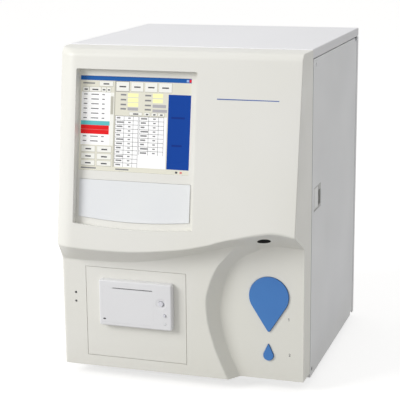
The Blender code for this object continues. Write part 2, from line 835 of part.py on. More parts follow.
def make_rear_panel():
    panel = block("rear_panel", (-HALF, CASE_DEPTH - REAR_FLANGE, 0), (HALF, CASE_DEPTH, SIDE_TOP))
    hollow = block(
        "rear_hollow", (-HALF + SHEET, CASE_DEPTH - REAR_FLANGE - OVERRUN, -OVERRUN),
        (HALF - SHEET, CASE_DEPTH - SHEET, CASE_HEIGHT)
    )
    cut(panel, hollow)
    inner_back = CASE_DEPTH - SHEET - GAP
    lap = block(
        "rear_lap", (-HALF / 2, inner_back - SHEET, SIDE_TOP - EDGE_LAP),
        (HALF / 2, CASE_DEPTH - SHEET / 2, SIDE_TOP - SEAM)
    )
    tongue = block(
        "rear_tongue", (-HALF / 2, inner_back - SHEET, SIDE_TOP - EDGE_LAP),
        (HALF / 2, inner_back, CEILING)
    )
    join(panel, lap, tongue)
    back = (0, -1, 0)
    far = CASE_DEPTH + OVERRUN
    fan_hole = drum("fan_hole", (FAN_X, far, FAN_Z), back, 2 * OVERRUN, FAN_BORE)
    cut(panel, fan_hole)
    for name, x, z, width, height in (
        ("inlet_hole", INLET_X, INLET_Z, INLET_WIDTH, INLET_HEIGHT),
        ("link_hole", LINK_X, LINK_Z, LINK_WIDTH, LINK_HEIGHT),
    ):
        cut(panel, block(name, (x - width / 2 - GAP, CASE_DEPTH - OVERRUN, z - height / 2 - GAP),
                         (x + width / 2 + GAP, far, z + height / 2 + GAP)))
    for x in port_places():
        cut(panel, drum("port_hole", (x, far, PORT_Z), back, 2 * OVERRUN, PORT_RADIUS + 2 * GAP,
                        sides=SMALL_SIDES))
    paint(panel, CASE_GREY, 0.35)


def make_front_frame():
    frame = block("front_frame", (-INNER_HALF, 0, 0), (HALF - DOOR_CHANNEL, SHEET, CEILING))
    windows = [
        (SCREEN_LEFT, SCREEN_RIGHT - OVERRUN, SCREEN_FOOT + OVERRUN, SCREEN_TOP - OVERRUN),
        (PRINTER_LEFT, PRINTER_RIGHT, PRINTER_FOOT, PRINTER_TOP),
    ]
    for i, (left, right, foot, top) in enumerate(windows):
        cut(frame, block(f"frame_window_{i}", (left, -OVERRUN, foot), (right, OVERRUN, top)))
    paint(frame, STEEL, 0.4, METAL_SHARE)


def make_divider():
    plate = block(
        "centre_divider", (DIVIDER_X, TRAY_INNER, SHEET + GAP),
        (DIVIDER_X + SHEET, CASE_DEPTH - TRAY_INNER, CEILING)
    )
    hole = block(
        "cable_hole", (DIVIDER_X - OVERRUN, BOARD_FRONT, BOARD_FOOT / 4),
        (DIVIDER_X + OVERRUN, BOARD_FRONT * 2, BOARD_FOOT / 2)
    )
    cut(plate, hole)
    paint(plate, STEEL, 0.4, METAL_SHARE)


# Front bezel and what it holds

def make_bezel():
    bezel = bezel_block("front_bezel", 0.0, 0.0)
    hollow = bezel_block("bezel_hollow", WALL, BAND_RISE)
    backing = recess_block("recess_backing", WALL + BAND_RISE, -PANEL_REACH + PANEL_WALL)
    rim = bowed_outline(
        SCREEN_LEFT - SCREEN_RIM, SCREEN_RIGHT + SCREEN_RIM, SCREEN_FOOT - SCREEN_RIM,
        SCREEN_TOP + SCREEN_RIM, SCREEN_BOW
    )
    rim_block = fascia_plate("screen_rim", rim, -OVERRUN, SCREEN_DEPTH + OVERRUN)
    cut(hollow, backing, rim_block, solver="MANIFOLD")
    cut(bezel, recess_block("recess", 0.0, -PANEL_REACH), hollow, solver="MANIFOLD")
    opening = bowed_outline(SCREEN_LEFT, SCREEN_RIGHT, SCREEN_FOOT, SCREEN_TOP, SCREEN_BOW)
    cut(bezel, fascia_plate("screen_opening", opening, -OVERRUN, SCREEN_DEPTH + 2 * OVERRUN))
    cut_printer_opening(bezel)
    for z in STATUS_HEIGHTS:
        cut(bezel, drum("status_hole", (STATUS_X, -LOWER_REACH - OVERRUN, z), (0, 1, 0), 3 * OVERRUN,
                        STATUS_RADIUS + GAP, sides=TINY_SIDES))
    hole = drum("probe_hole", (PROBE_X, PROBE_Y, PROBE_TIP), (0, 0, -1), 3 * PROBE_HOLE, PROBE_HOLE)
    cut(bezel, hole)
    cut_drop_pocket(bezel, "start", START_X, START_Z, START_RADIUS, START_POINT, DROP_TIP)
    cut_drop_pocket(bezel, "dilute", DILUTE_X, DILUTE_Z, DILUTE_RADIUS, DILUTE_POINT, DROP_TIP_SMALL)
    paint(bezel, IVORY, 0.45)


def cut_printer_opening(bezel):
    face = -LOWER_REACH
    seat = PANEL_THICKNESS + GAP
    pocket = block(
        "panel_pocket", (PANEL_LEFT - GAP, face - OVERRUN, PANEL_FOOT - GAP),
        (PANEL_RIGHT + GAP, face + seat, PANEL_TOP + GAP)
    )
    cut(bezel, pocket, printer_way(face - OVERRUN, face + 2 * OVERRUN))


def printer_way(front, back):
    """The space that the printer's body passes through."""
    return block(
        "printer_way", (PRINTER_LEFT + PRINTER_INSET - GAP, front, PRINTER_FOOT + PRINTER_INSET - GAP),
        (PRINTER_RIGHT - PRINTER_INSET + GAP, back, PRINTER_TOP - PRINTER_INSET + GAP)
    )


def cut_drop_pocket(bezel, name, x, z, radius, point, tip):
    outline = drop_outline(x, z, radius, point, tip, DROP_GAP)
    pocket = flat_plate(f"{name}_pocket", outline, -PANEL_REACH - OVERRUN, OVERRUN + DROP_POCKET)
    stem = drum(f"{name}_stem_hole", (x, -PANEL_REACH, z), (0, 1, 0), 2 * PANEL_WALL, DROP_STEM + DROP_GAP,
                sides=SMALL_SIDES)
    cut(bezel, pocket, stem)


def make_screen():
    outline = rectangle(
        SCREEN_LEFT - SCREEN_MARGIN, SCREEN_RIGHT + SCREEN_MARGIN, SCREEN_FOOT - SCREEN_MARGIN,
        SCREEN_TOP + SCREEN_MARGIN
    )
    frame = fascia_plate("screen_frame", outline, SCREEN_DEPTH + GAP, SCREEN_PLATE)
    window = rectangle(LCD_LEFT, LCD_RIGHT, LCD_FOOT, LCD_TOP)
    cut(frame, fascia_plate("screen_window", window, SCREEN_DEPTH - OVERRUN, 2 * OVERRUN + SCREEN_PLATE))
    paint(frame, IVORY, 0.45)
    glass = rectangle(
        LCD_LEFT - LCD_BORDER, LCD_RIGHT + LCD_BORDER, LCD_FOOT - LCD_BORDER, LCD_TOP + LCD_BORDER
    )
    lcd = fascia_plate("lcd_panel", glass, SCREEN_DEPTH + SCREEN_PLATE + 2 * GAP, LCD_THICKNESS)
    paint(lcd, SCREEN_BLUE, 0.25)
    trim = bowed_outline(TRIM_LEFT, TRIM_RIGHT, TRIM_FOOT, TRIM_TOP, SCREEN_BOW)
    trim_plate = fascia_plate("screen_trim", trim, SCREEN_DEPTH - TRIM_THICKNESS, TRIM_THICKNESS)
    paint(trim_plate, TRIM_GREY, 0.35)


def make_printer_panel():
    face = -LOWER_REACH
    panel = block("printer_panel", (PANEL_LEFT + GAP, face, PANEL_FOOT + GAP),
                  (PANEL_RIGHT - GAP, face + PANEL_THICKNESS, PANEL_TOP - GAP))
    cut(panel, printer_way(face - OVERRUN, face + OVERRUN))
    paint(panel, IVORY, 0.45)


PRINTER_FACE = -LOWER_REACH - PRINTER_PROUD
PRINTER_BACK = -LOWER_REACH + PRINTER_DEPTH
COVER_LEFT = PRINTER_LEFT + PRINTER_WALL + PRINTER_INSET
COVER_RIGHT = PRINTER_RIGHT - PRINTER_COLUMN
COVER_FOOT = PRINTER_FOOT + PRINTER_WALL + PRINTER_INSET
COVER_AXIS_Y = PRINTER_FACE + COVER_PIVOT
COVER_AXIS_Z = COVER_FOOT + COVER_PIVOT + BUTTON_GAP
PAPER_Y = PRINTER_FACE + PRINTER_PROUD + PRINTER_DEPTH / 2
PAPER_Z = COVER_FOOT + GAP + PAPER_RADIUS
PAPER_X = (COVER_LEFT + COVER_RIGHT) / 2
PLATEN_Y = PRINTER_FACE + COVER_PLATE + PLATEN_RADIUS + GAP
PLATEN_Z = SLOT_HEIGHT - PLATEN_RADIUS - GAP


def make_printer_housing():
    face = PRINTER_FACE
    housing = block(
        "printer_housing", (PRINTER_LEFT, face, PRINTER_FOOT),
        (PRINTER_RIGHT, -LOWER_REACH - GAP, PRINTER_TOP), PRINTER_ROUND, 3
    )
    body = block(
        "printer_body",
        (PRINTER_LEFT + PRINTER_INSET, face + PRINTER_PROUD / 2, PRINTER_FOOT + PRINTER_INSET),
        (PRINTER_RIGHT - PRINTER_INSET, PRINTER_BACK, PRINTER_TOP - PRINTER_INSET)
    )
    join(housing, body)
    well = block(
        "paper_well", (COVER_LEFT, face + PRINTER_WALL, COVER_FOOT),
        (COVER_RIGHT, PRINTER_BACK - PRINTER_WALL, PRINTER_TOP - PRINTER_INSET - PRINTER_WALL)
    )
    mouth = block(
        "cover_mouth", (COVER_LEFT, face - OVERRUN, COVER_FOOT),
        (COVER_RIGHT, face + OVERRUN, SLOT_HEIGHT + GAP)
    )
    cut(housing, well, mouth)
    for x, z, radius in (
        (RELEASE_X, RELEASE_Z, RELEASE_RADIUS), (FEED_X, FEED_Z, FEED_RADIUS), (LAMP_X, LAMP_Z, LAMP_RADIUS)
    ):
        cut(housing, drum("key_hole", (x, face - OVERRUN, z), (0, 1, 0),
                          OVERRUN + BUTTON_LENGTH + BUTTON_TRAVEL, radius + BUTTON_GAP, sides=SMALL_SIDES))
    pin_hole = drum("cover_pin_hole", (COVER_LEFT - PRINTER_WALL, COVER_AXIS_Y, COVER_AXIS_Z), (1, 0, 0),
                    COVER_RIGHT - COVER_LEFT + 2 * PRINTER_WALL, COVER_PIN + SLIDE_CLEARANCE,
                    sides=TINY_SIDES)
    cut(housing, pin_hole)
    paint(housing, PRINTER_WHITE, 0.35)


def make_printer_cover():
    left, right = COVER_LEFT + BUTTON_GAP, COVER_RIGHT - BUTTON_GAP
    cover = block(
        "printer_cover", (left, PRINTER_FACE, COVER_AXIS_Z),
        (right, PRINTER_FACE + COVER_PLATE, SLOT_HEIGHT - GAP)
    )
    barrel = drum("cover_barrel", (left, COVER_AXIS_Y, COVER_AXIS_Z), (1, 0, 0), right - left,
                  COVER_PIVOT - GAP / 2, sides=SMALL_SIDES)
    reach = PRINTER_WALL - BUTTON_GAP
    pins = drum("cover_pins", (left - reach, COVER_AXIS_Y, COVER_AXIS_Z), (1, 0, 0),
                right - left + 2 * reach, COVER_PIN, sides=TINY_SIDES)
    join(cover, barrel, pins)
    for side, x in (("left", left), ("right", right - PRINTER_WALL)):
        ear = block(
            f"platen_ear_{side}", (x, PRINTER_FACE + COVER_PLATE / 2, PLATEN_Z - PLATEN_RADIUS),
            (x + PRINTER_WALL, PLATEN_Y + PLATEN_SHAFT * 2, PLATEN_Z + PLATEN_SHAFT * 2)
        )
        join(cover, ear)
    cut(cover, drum("platen_bore", (left - OVERRUN, PLATEN_Y, PLATEN_Z), (1, 0, 0),
                    right - left + 2 * OVERRUN, PLATEN_SHAFT + GAP, sides=TINY_SIDES))
    cut(cover, drum("platen_room", (left + PRINTER_WALL, PLATEN_Y, PLATEN_Z), (1, 0, 0),
                    right - left - 2 * PRINTER_WALL, PLATEN_RADIUS + GAP, sides=SMALL_SIDES))
    move_origin(cover, (PAPER_X, COVER_AXIS_Y, COVER_AXIS_Z))
    paint(cover, PRINTER_WHITE, 0.35)
    roller_left = left + PRINTER_WALL + BUTTON_GAP
    roller_length = right - left - 2 * (PRINTER_WALL + BUTTON_GAP)
    platen = drum("platen_roller", (roller_left, PLATEN_Y, PLATEN_Z), (1, 0, 0), roller_length, PLATEN_RADIUS,
                  sides=SMALL_SIDES)
    shaft_left = left + BUTTON_GAP
    join(platen, drum("platen_shaft", (shaft_left, PLATEN_Y, PLATEN_Z), (1, 0, 0),
                      right - left - 2 * BUTTON_GAP, PLATEN_SHAFT, sides=TINY_SIDES))
    paint(platen, BLACK_PLASTIC, 0.7)


def make_printer_inside():
    roll = turned(
        "paper_roll", (PAPER_X, PAPER_Y, PAPER_Z),
        [
            (PAPER_BORE, PAPER_WIDTH / 2), (PAPER_RADIUS, PAPER_WIDTH / 2),
            (PAPER_RADIUS, -PAPER_WIDTH / 2),
            (PAPER_BORE, -PAPER_WIDTH / 2), (PAPER_BORE, PAPER_WIDTH / 2),
        ], (1, 0, 0)
    )
    paint(roll, PAPER, 0.7)
    front = PLATEN_Y + PLATEN_RADIUS + GAP
    head = block(
        "thermal_head", (COVER_LEFT + PRINTER_WALL, front, PLATEN_Z - PLATEN_RADIUS),
        (COVER_RIGHT - PRINTER_WALL, front + PRINTER_WALL,
         PRINTER_TOP - PRINTER_INSET - PRINTER_WALL - GAP)
    )
    paint(head, STEEL, 0.4, METAL_SHARE)
    for name, x, z, radius in (
        ("release_button", RELEASE_X, RELEASE_Z, RELEASE_RADIUS), ("feed_key", FEED_X, FEED_Z, FEED_RADIUS)
    ):
        key = drum(name, (x, PRINTER_FACE - BUTTON_PROUD, z), (0, 1, 0), BUTTON_LENGTH + BUTTON_PROUD - GAP,
                   radius, sides=ROUND_SIDES if radius > FEED_RADIUS else SMALL_SIDES)
        paint(key, PRINTER_WHITE, 0.3)
    lamp = drum("printer_lamp", (LAMP_X, PRINTER_FACE - GAP, LAMP_Z), (0, 1, 0), BUTTON_LENGTH, LAMP_RADIUS,
                sides=SMALL_SIDES)
    paint(lamp, TRIM_GREY, 0.2)


def make_status_lamps():
    """Two small lamps that stand on one little board behind the lower face."""
    high, low = STATUS_HEIGHTS
    back = -LOWER_REACH + WALL + GAP
    margin = 2 * STATUS_RADIUS
    lamps = block("status_lamps", (STATUS_X - margin, back, low - margin),
                  (STATUS_X + margin, back + BOARD_THICKNESS, high + margin))
    for z in STATUS_HEIGHTS:
        join(lamps, drum("status_lens", (STATUS_X, -LOWER_REACH - GAP, z), (0, 1, 0),
                         WALL + 2 * GAP + BOARD_THICKNESS / 2, STATUS_RADIUS, sides=SMALL_SIDES))
    paint(lamps, DARK, 0.2)


def make_drop_plate(name, x, z, radius, point, tip):
    outline = drop_outline(x, z, radius, point, tip)
    plate = flat_plate(f"{name}_plate", outline, -PANEL_REACH - DROP_PROUD, DROP_PROUD + DROP_SINK)
    stem_length = PANEL_WALL - STEM_REACH / 2
    stem = drum(f"{name}_stem", (x, -PANEL_REACH, z), (0, 1, 0), stem_length, DROP_STEM, sides=SMALL_SIDES)
    join(plate, stem)
    move_origin(plate, (x, -PANEL_REACH, z))
    paint(plate, DROP_BLUE, 0.35)


def make_switch_board():
    """One board behind the recess that carries the switch of each drop-shaped plate."""
    back = -PANEL_REACH + PANEL_WALL + GAP
    half = SWITCH_SIZE / 2
    places = ((START_X, START_Z), (DILUTE_X, DILUTE_Z))
    foot, top = DILUTE_Z - SWITCH_SIZE, START_Z + SWITCH_SIZE
    board = block("switch_board", (START_X - SWITCH_SIZE, back + SWITCH_DEPTH, foot),
                  (START_X + SWITCH_SIZE, back + SWITCH_DEPTH + BOARD_THICKNESS, top))
    for x, z in places:
        join(board, block("switch_body", (x - half, back, z - half),
                          (x + half, back + SWITCH_DEPTH + BOARD_THICKNESS / 2, z + half)))
    for x, z in places:
        cut(board, drum("switch_bore", (x, back - OVERRUN, z), (0, 1, 0), OVERRUN + STEM_REACH + GAP,
                        SWITCH_BORE, sides=SMALL_SIDES))
    paint(board, BLACK_PLASTIC, 0.5)


# Sampling unit

def make_probe_frame():
    half = UNIT_WIDTH / 2
    left, right = PROBE_X - half, PROBE_X + half
    frame = block("probe_frame", (left, -GAP - UNIT_PLATE, UNIT_FOOT), (right, -GAP, UNIT_TOP))
    floor = block("unit_floor", (left, -UNIT_SHELF, UNIT_FOOT), (right, -GAP, UNIT_FOOT + UNIT_PLATE))
    nose_half = UNIT_NOSE_WIDTH / 2
    nose = block("unit_nose", (PROBE_X - nose_half, -UNIT_NOSE, UNIT_FOOT),
                 (PROBE_X + nose_half, -UNIT_SHELF + OVERRUN, UNIT_FOOT + UNIT_PLATE))
    roof = block("unit_roof", (left, -UNIT_SHELF, UNIT_TOP - UNIT_PLATE), (right, -GAP, UNIT_TOP))
    join(frame, floor, nose, roof)
    cut(frame, drum("wash_hole", (PROBE_X, PROBE_Y, UNIT_FOOT - OVERRUN), (0, 0, 1), 2 * OVERRUN,
                    WASH_RADIUS + GAP))
    cut(frame, drum("screw_end_hole", (PROBE_X, ROD_Y, UNIT_TOP - OVERRUN), (0, 0, 1), 2 * OVERRUN,
                    SCREW_RADIUS + SLIDE_CLEARANCE, sides=SMALL_SIDES))
    paint(frame, STEEL, 0.35, METAL_SHARE)


def make_probe_drive():
    low, high = UNIT_FOOT + UNIT_PLATE + GAP, UNIT_TOP - UNIT_PLATE - GAP
    for side, name in ((-1, "guide_rod_left"), (1, "guide_rod_right")):
        rod = drum(name, (PROBE_X + side * ROD_SPACING / 2, ROD_Y, low), (0, 0, 1), high - low, ROD_RADIUS,
                   sides=SMALL_SIDES)
        paint(rod, STEEL, 0.2, 1.0)
    screw = drum("lead_screw", (PROBE_X, ROD_Y, low), (0, 0, 1), UNIT_TOP - low, SCREW_RADIUS,
                 sides=SMALL_SIDES)
    paint(screw, STEEL, 0.3, 1.0)
    half = MOTOR_SIZE / 2
    motor = block("probe_motor", (PROBE_X - half, ROD_Y - half, UNIT_TOP + GAP),
                  (PROBE_X + half, ROD_Y + half, UNIT_TOP + GAP + MOTOR_HEIGHT), WALL)
    paint(motor, DARK, 0.4)


def make_carriage():
    half = CARRIAGE_WIDTH / 2
    carriage = block("probe_carriage", (PROBE_X - half, CARRIAGE_FRONT, CARRIAGE_FOOT),
                     (PROBE_X + half, CARRIAGE_BACK, CARRIAGE_FOOT + CARRIAGE_HEIGHT))
    arm_foot = CARRIAGE_FOOT + (CARRIAGE_HEIGHT - ARM_HEIGHT) / 2
    arm = block("carriage_arm", (PROBE_X - ARM_WIDTH / 2, ARM_FRONT, CARRIAGE_FOOT),
                (PROBE_X + ARM_WIDTH / 2, CARRIAGE_FRONT + OVERRUN, arm_foot))
    join(carriage, arm)
    for side, radius in ((-1, ROD_RADIUS), (0, SCREW_RADIUS), (1, ROD_RADIUS)):
        x = PROBE_X + side * ROD_SPACING / 2
        cut(carriage, drum("slide_bore", (x, ROD_Y, CARRIAGE_FOOT - OVERRUN), (0, 0, 1),
                           CARRIAGE_HEIGHT + 2 * OVERRUN, radius + SLIDE_CLEARANCE, sides=SMALL_SIDES))
    cut(carriage, drum("probe_bore", (PROBE_X, PROBE_Y, CARRIAGE_FOOT - OVERRUN), (0, 0, 1), 3 * OVERRUN,
                       PROBE_RADIUS + GAP, sides=TINY_SIDES))
    paint(carriage, BLACK_PLASTIC, 0.5)
    probe = drum("sample_probe", (PROBE_X, PROBE_Y, PROBE_TIP), (0, 0, 1),
                 arm_foot - PROBE_TIP + GAP + WALL, PROBE_RADIUS, sides=TINY_SIDES)
    collar = drum("probe_collar", (PROBE_X, PROBE_Y, arm_foot + GAP), (0, 0, 1), WALL, WALL,
                  sides=SMALL_SIDES)
    join(probe, collar)
    paint(probe, STEEL, 0.2, 1.0)


def make_wash_bush():
    floor = UNIT_FOOT + UNIT_PLATE
    bush = turned(
        "wash_bush", (PROBE_X, PROBE_Y, floor),
        [
            (WASH_BORE, WALL), (WASH_FLANGE, WALL), (WASH_FLANGE, GAP), (WASH_RADIUS, GAP),
            (WASH_RADIUS, -WASH_HEIGHT), (WASH_BORE, -WASH_HEIGHT), (WASH_BORE, WALL),
        ], sides=ROUND_SIDES
    )
    paint(bush, BLACK_PLASTIC, 0.5)


# Service door

DOOR_AXIS_X = HALF - KNUCKLE_RADIUS
DOOR_AXIS_Y = CASE_DEPTH - REAR_FLANGE - GAP - KNUCKLE_RADIUS
DOOR_TOP = SIDE_TOP
PIVOT_FOOT = SHEET + GAP
PIVOT_ROOF = SIDE_TOP - SHEET
KNUCKLE_FOOT = PIVOT_FOOT + PIVOT_PLATE + GAP
KNUCKLE_ROOF = PIVOT_ROOF - PIVOT_PLATE - GAP


def make_door():
    door = block("service_door", (HALF - SHEET, DOOR_SEAM, DOOR_SEAM), (HALF, DOOR_AXIS_Y, DOOR_TOP))
    returns = block(
        "door_returns", (HALF - DOOR_RETURN, DOOR_SEAM, DOOR_SEAM),
        (HALF, DOOR_AXIS_Y - PIVOT_NOTCH, DOOR_TOP)
    )
    hollow = block(
        "door_hollow", (HALF - 2 * DOOR_RETURN, DOOR_SEAM + SHEET, DOOR_SEAM + SHEET),
        (HALF - SHEET, DOOR_AXIS_Y, DOOR_TOP - SHEET)
    )
    cut(returns, hollow)
    join(door, returns)
    for foot, roof in ((-OVERRUN, KNUCKLE_FOOT), (KNUCKLE_ROOF, CASE_HEIGHT)):
        cut(door, block("pivot_notch", (HALF - 2 * DOOR_RETURN, DOOR_AXIS_Y - PIVOT_NOTCH + SHEET, foot),
                        (HALF + OVERRUN, CASE_DEPTH, roof)))
    axis = (DOOR_AXIS_X, DOOR_AXIS_Y)
    join(door, drum("door_knuckle", (*axis, KNUCKLE_FOOT), (0, 0, 1), KNUCKLE_ROOF - KNUCKLE_FOOT,
                    KNUCKLE_RADIUS, sides=SMALL_SIDES))
    bore = PIVOT_PIN + SLIDE_CLEARANCE
    deep = PIVOT_REACH + GAP
    for z, way in ((KNUCKLE_FOOT - OVERRUN, 1), (KNUCKLE_ROOF + OVERRUN, -1)):
        cut(door, drum("pivot_bore", (*axis, z), (0, 0, way), deep + OVERRUN, bore, sides=TINY_SIDES))
    cut(door, block("latch_way", (HALF - OVERRUN, LATCH_FRONT - GAP, LATCH_FOOT - GAP),
                    (HALF + OVERRUN, LATCH_BACK + GAP, LATCH_TOP + GAP)))
    cut(door, drum("door_screw_hole", (HALF - OVERRUN, SCREW_Y, SCREW_Z), (1, 0, 0), 2 * OVERRUN,
                   SCREW_HEAD / 2 + GAP, sides=TINY_SIDES))
    cut(door, drum("door_screw_seat", (HALF + OVERRUN, SCREW_Y, SCREW_Z), (-1, 0, 0),
                   OVERRUN + SCREW_HEAD_HEIGHT + GAP / 2, SCREW_HEAD + GAP, sides=SMALL_SIDES))
    move_origin(door, (*axis, 0))
    paint(door, CASE_GREY, 0.35)


def make_pivots():
    back = CASE_DEPTH - REAR_FLANGE - GAP
    near = DOOR_AXIS_Y - PIVOT_NOTCH + 2 * SHEET
    inner = HALF - 3 * DOOR_CHANNEL
    outer = DOOR_AXIS_X + PIVOT_PIN
    for name, foot, pin_foot in (
        ("door_pivot_lower", PIVOT_FOOT, PIVOT_FOOT + PIVOT_PLATE / 2),
        ("door_pivot_upper", PIVOT_ROOF - PIVOT_PLATE, KNUCKLE_ROOF + GAP - PIVOT_REACH + GAP),
    ):
        pivot = block(name, (inner, near, foot), (outer, back, foot + PIVOT_PLATE))
        reach = PIVOT_REACH + PIVOT_PLATE / 2
        join(pivot, drum(f"{name}_pin", (DOOR_AXIS_X, DOOR_AXIS_Y, pin_foot), (0, 0, 1), reach - GAP,
                         PIVOT_PIN, sides=TINY_SIDES))
        paint(pivot, STEEL, 0.3, 1.0)


PADDLE_AXIS_X = HALF - PADDLE_PLATE / 2 - GAP
PADDLE_AXIS_Y = LATCH_FRONT + LATCH_WALL + GAP + PADDLE_PLATE / 2


def make_latch():
    cup = block("latch_cup", (HALF - LATCH_DEPTH, LATCH_FRONT, LATCH_FOOT), (HALF, LATCH_BACK, LATCH_TOP))
    pocket = block(
        "latch_pocket", (HALF - LATCH_DEPTH + LATCH_WALL, LATCH_FRONT + LATCH_WALL, LATCH_FOOT + LATCH_WALL),
        (HALF + OVERRUN, LATCH_BACK - LATCH_WALL, LATCH_TOP - LATCH_WALL)
    )
    cut(cup, pocket)
    pin_room = LATCH_TOP - LATCH_FOOT - LATCH_WALL
    cut(cup, drum("paddle_pin_hole", (PADDLE_AXIS_X, PADDLE_AXIS_Y, LATCH_FOOT + LATCH_WALL / 2), (0, 0, 1),
                  pin_room, PADDLE_PIN + GAP, sides=TINY_SIDES))
    paint(cup, TRIM_GREY, 0.4)
    foot, top = LATCH_FOOT + LATCH_WALL + GAP, LATCH_TOP - LATCH_WALL - GAP
    paddle = block(
        "latch_paddle", (HALF - PADDLE_PLATE - GAP, PADDLE_AXIS_Y, foot),
        (HALF - GAP, LATCH_FRONT + LATCH_WALL + PADDLE_LENGTH, top)
    )
    barrel = drum("paddle_barrel", (PADDLE_AXIS_X, PADDLE_AXIS_Y, foot), (0, 0, 1), top - foot,
                  PADDLE_PLATE / 2, sides=TINY_SIDES)
    pins = drum("paddle_pins", (PADDLE_AXIS_X, PADDLE_AXIS_Y, LATCH_FOOT + LATCH_WALL / 2 + GAP), (0, 0, 1),
                pin_room - 2 * GAP, PADDLE_PIN, sides=TINY_SIDES)
    join(paddle, barrel, pins)
    move_origin(paddle, (PADDLE_AXIS_X, PADDLE_AXIS_Y, foot))
    paint(paddle, TRIM_GREY, 0.4)


def make_door_screw():
    """A flat-headed screw, its head flush with the door."""
    screw = drum("door_screw", (HALF, SCREW_Y, SCREW_Z), (-1, 0, 0), SCREW_HEAD_HEIGHT, SCREW_HEAD,
                 sides=SMALL_SIDES)
    shank = drum("door_screw_shank", (HALF - SCREW_HEAD_HEIGHT / 2, SCREW_Y, SCREW_Z), (-1, 0, 0),
                 OVERRUN, SCREW_HEAD / 2, sides=TINY_SIDES)
    join(screw, shank)
    paint(screw, STEEL, 0.3, 1.0)


# Fluid system on the service side

def make_bath_shelf():
    wall = DIVIDER_X + SHEET + GAP
    corner = (wall, SHELF_FRONT, SHELF_Z)
    shelf = block("bath_shelf", corner, (wall + SHELF_SHEET, SHELF_BACK, SHELF_Z + SHELF_RISE))
    table = block("bath_table", corner, (wall + SHELF_REACH, SHELF_BACK, SHELF_Z + SHELF_SHEET))
    join(shelf, table)
    for i in range(2):
        cut(shelf, drum("bath_seat", (bath_x(i), BATH_Y, SHELF_Z - OVERRUN), (0, 0, 1), 2 * OVERRUN,
                        BATH_RADIUS + 2 * GAP))
    paint(shelf, STEEL, 0.35, METAL_SHARE)


def bath_x(index):
    return DIVIDER_X + BATH_FIRST + index * BATH_PITCH


def make_baths():
    top = SHELF_Z + SHELF_SHEET
    bore = BATH_RADIUS - BATH_WALL
    for i, name in enumerate(("counting_bath_rear", "counting_bath_front")):
        profile = [
            (bore, BATH_HEIGHT - BATH_DROP), (BATH_RADIUS, BATH_HEIGHT - BATH_DROP),
            (BATH_RADIUS, 2 * BATH_WALL), (BATH_FLANGE, 2 * BATH_WALL), (BATH_FLANGE, GAP),
            (BATH_RADIUS, GAP), (BATH_RADIUS, -BATH_DROP + bore),
            (NIPPLE_RADIUS, -BATH_DROP), (NIPPLE_RADIUS, -BATH_DROP - NIPPLE_LENGTH),
            (0, -BATH_DROP - NIPPLE_LENGTH), (0, -BATH_DROP + BATH_WALL),
            (bore, -BATH_DROP + bore + BATH_WALL),
            (bore, BATH_HEIGHT - BATH_DROP),
        ]
        bath = turned(name, (bath_x(i), BATH_Y, top), profile)
        paint(bath, CLEAR, 0.1)


def make_syringe():
    wall = DIVIDER_X + SHEET + GAP
    half = SYRINGE_HALF
    frame = block("syringe_frame", (wall, SYRINGE_Y - half, SYRINGE_FOOT),
                  (wall + SYRINGE_PLATE, SYRINGE_Y + half, SYRINGE_TOP))
    for foot in (BARREL_FOOT + PISTON_LENGTH, BARREL_TOP - CLAMP_HEIGHT - PISTON_LENGTH):
        clamp = block("barrel_clamp", (wall, SYRINGE_Y - half, foot),
                      (SYRINGE_X + half / 2, SYRINGE_Y + half, foot + CLAMP_HEIGHT))
        join(frame, clamp)
    cut(frame, drum("barrel_way", (SYRINGE_X, SYRINGE_Y, SYRINGE_FOOT), (0, 0, 1),
                    SYRINGE_TOP - SYRINGE_FOOT, BARREL_RADIUS + GAP))
    paint(frame, STEEL, 0.35, METAL_SHARE)
    length = BARREL_TOP - BARREL_FOOT
    barrel = turned(
        "syringe_barrel", (SYRINGE_X, SYRINGE_Y, BARREL_FOOT),
        [
            (0, length + NIPPLE_LENGTH), (NIPPLE_RADIUS, length + NIPPLE_LENGTH), (NIPPLE_RADIUS, length),
            (BARREL_RADIUS, length), (BARREL_RADIUS, 0), (BARREL_BORE, 0),
            (BARREL_BORE, length - BATH_WALL),
            (0, length - BATH_WALL),
        ]
    )
    paint(barrel, CLEAR, 0.1)
    plunger = drum("syringe_plunger", (SYRINGE_X, SYRINGE_Y, PISTON_TOP), (0, 0, -1), PISTON_LENGTH,
                   BARREL_BORE - GAP)
    crosshead_top = CROSSHEAD_FOOT + CROSSHEAD_HEIGHT
    rod = drum("plunger_rod", (SYRINGE_X, SYRINGE_Y, PISTON_TOP - PISTON_LENGTH / 2), (0, 0, -1),
               PISTON_TOP - PISTON_LENGTH / 2 - crosshead_top + GAP, PLUNGER_ROD, sides=SMALL_SIDES)
    crosshead = block(
        "plunger_crosshead", (wall + SYRINGE_PLATE + GAP, SYRINGE_Y - CROSSHEAD, CROSSHEAD_FOOT),
        (SYRINGE_X + CROSSHEAD / 2, SYRINGE_Y + CROSSHEAD, crosshead_top)
    )
    join(plunger, rod, crosshead)
    paint(plunger, BLACK_PLASTIC, 0.5)


def make_valves():
    wall = DIVIDER_X + SHEET + GAP
    bank = block("valve_bank", (wall, VALVE_FRONT, VALVE_FOOT), (wall + VALVE_PLATE, VALVE_BACK, VALVE_TOP))
    pitch = (VALVE_BACK - VALVE_FRONT) / VALVE_COUNT
    for i in range(VALVE_COUNT):
        y = VALVE_FRONT + pitch * (i + 0.5)
        coil = drum("valve_coil", (wall + VALVE_PLATE / 2, y, (VALVE_FOOT + VALVE_TOP) / 2), (1, 0, 0),
                    VALVE_LENGTH, VALVE_RADIUS, sides=SMALL_SIDES)
        join(bank, coil)
    paint(bank, BLACK_PLASTIC, 0.5)


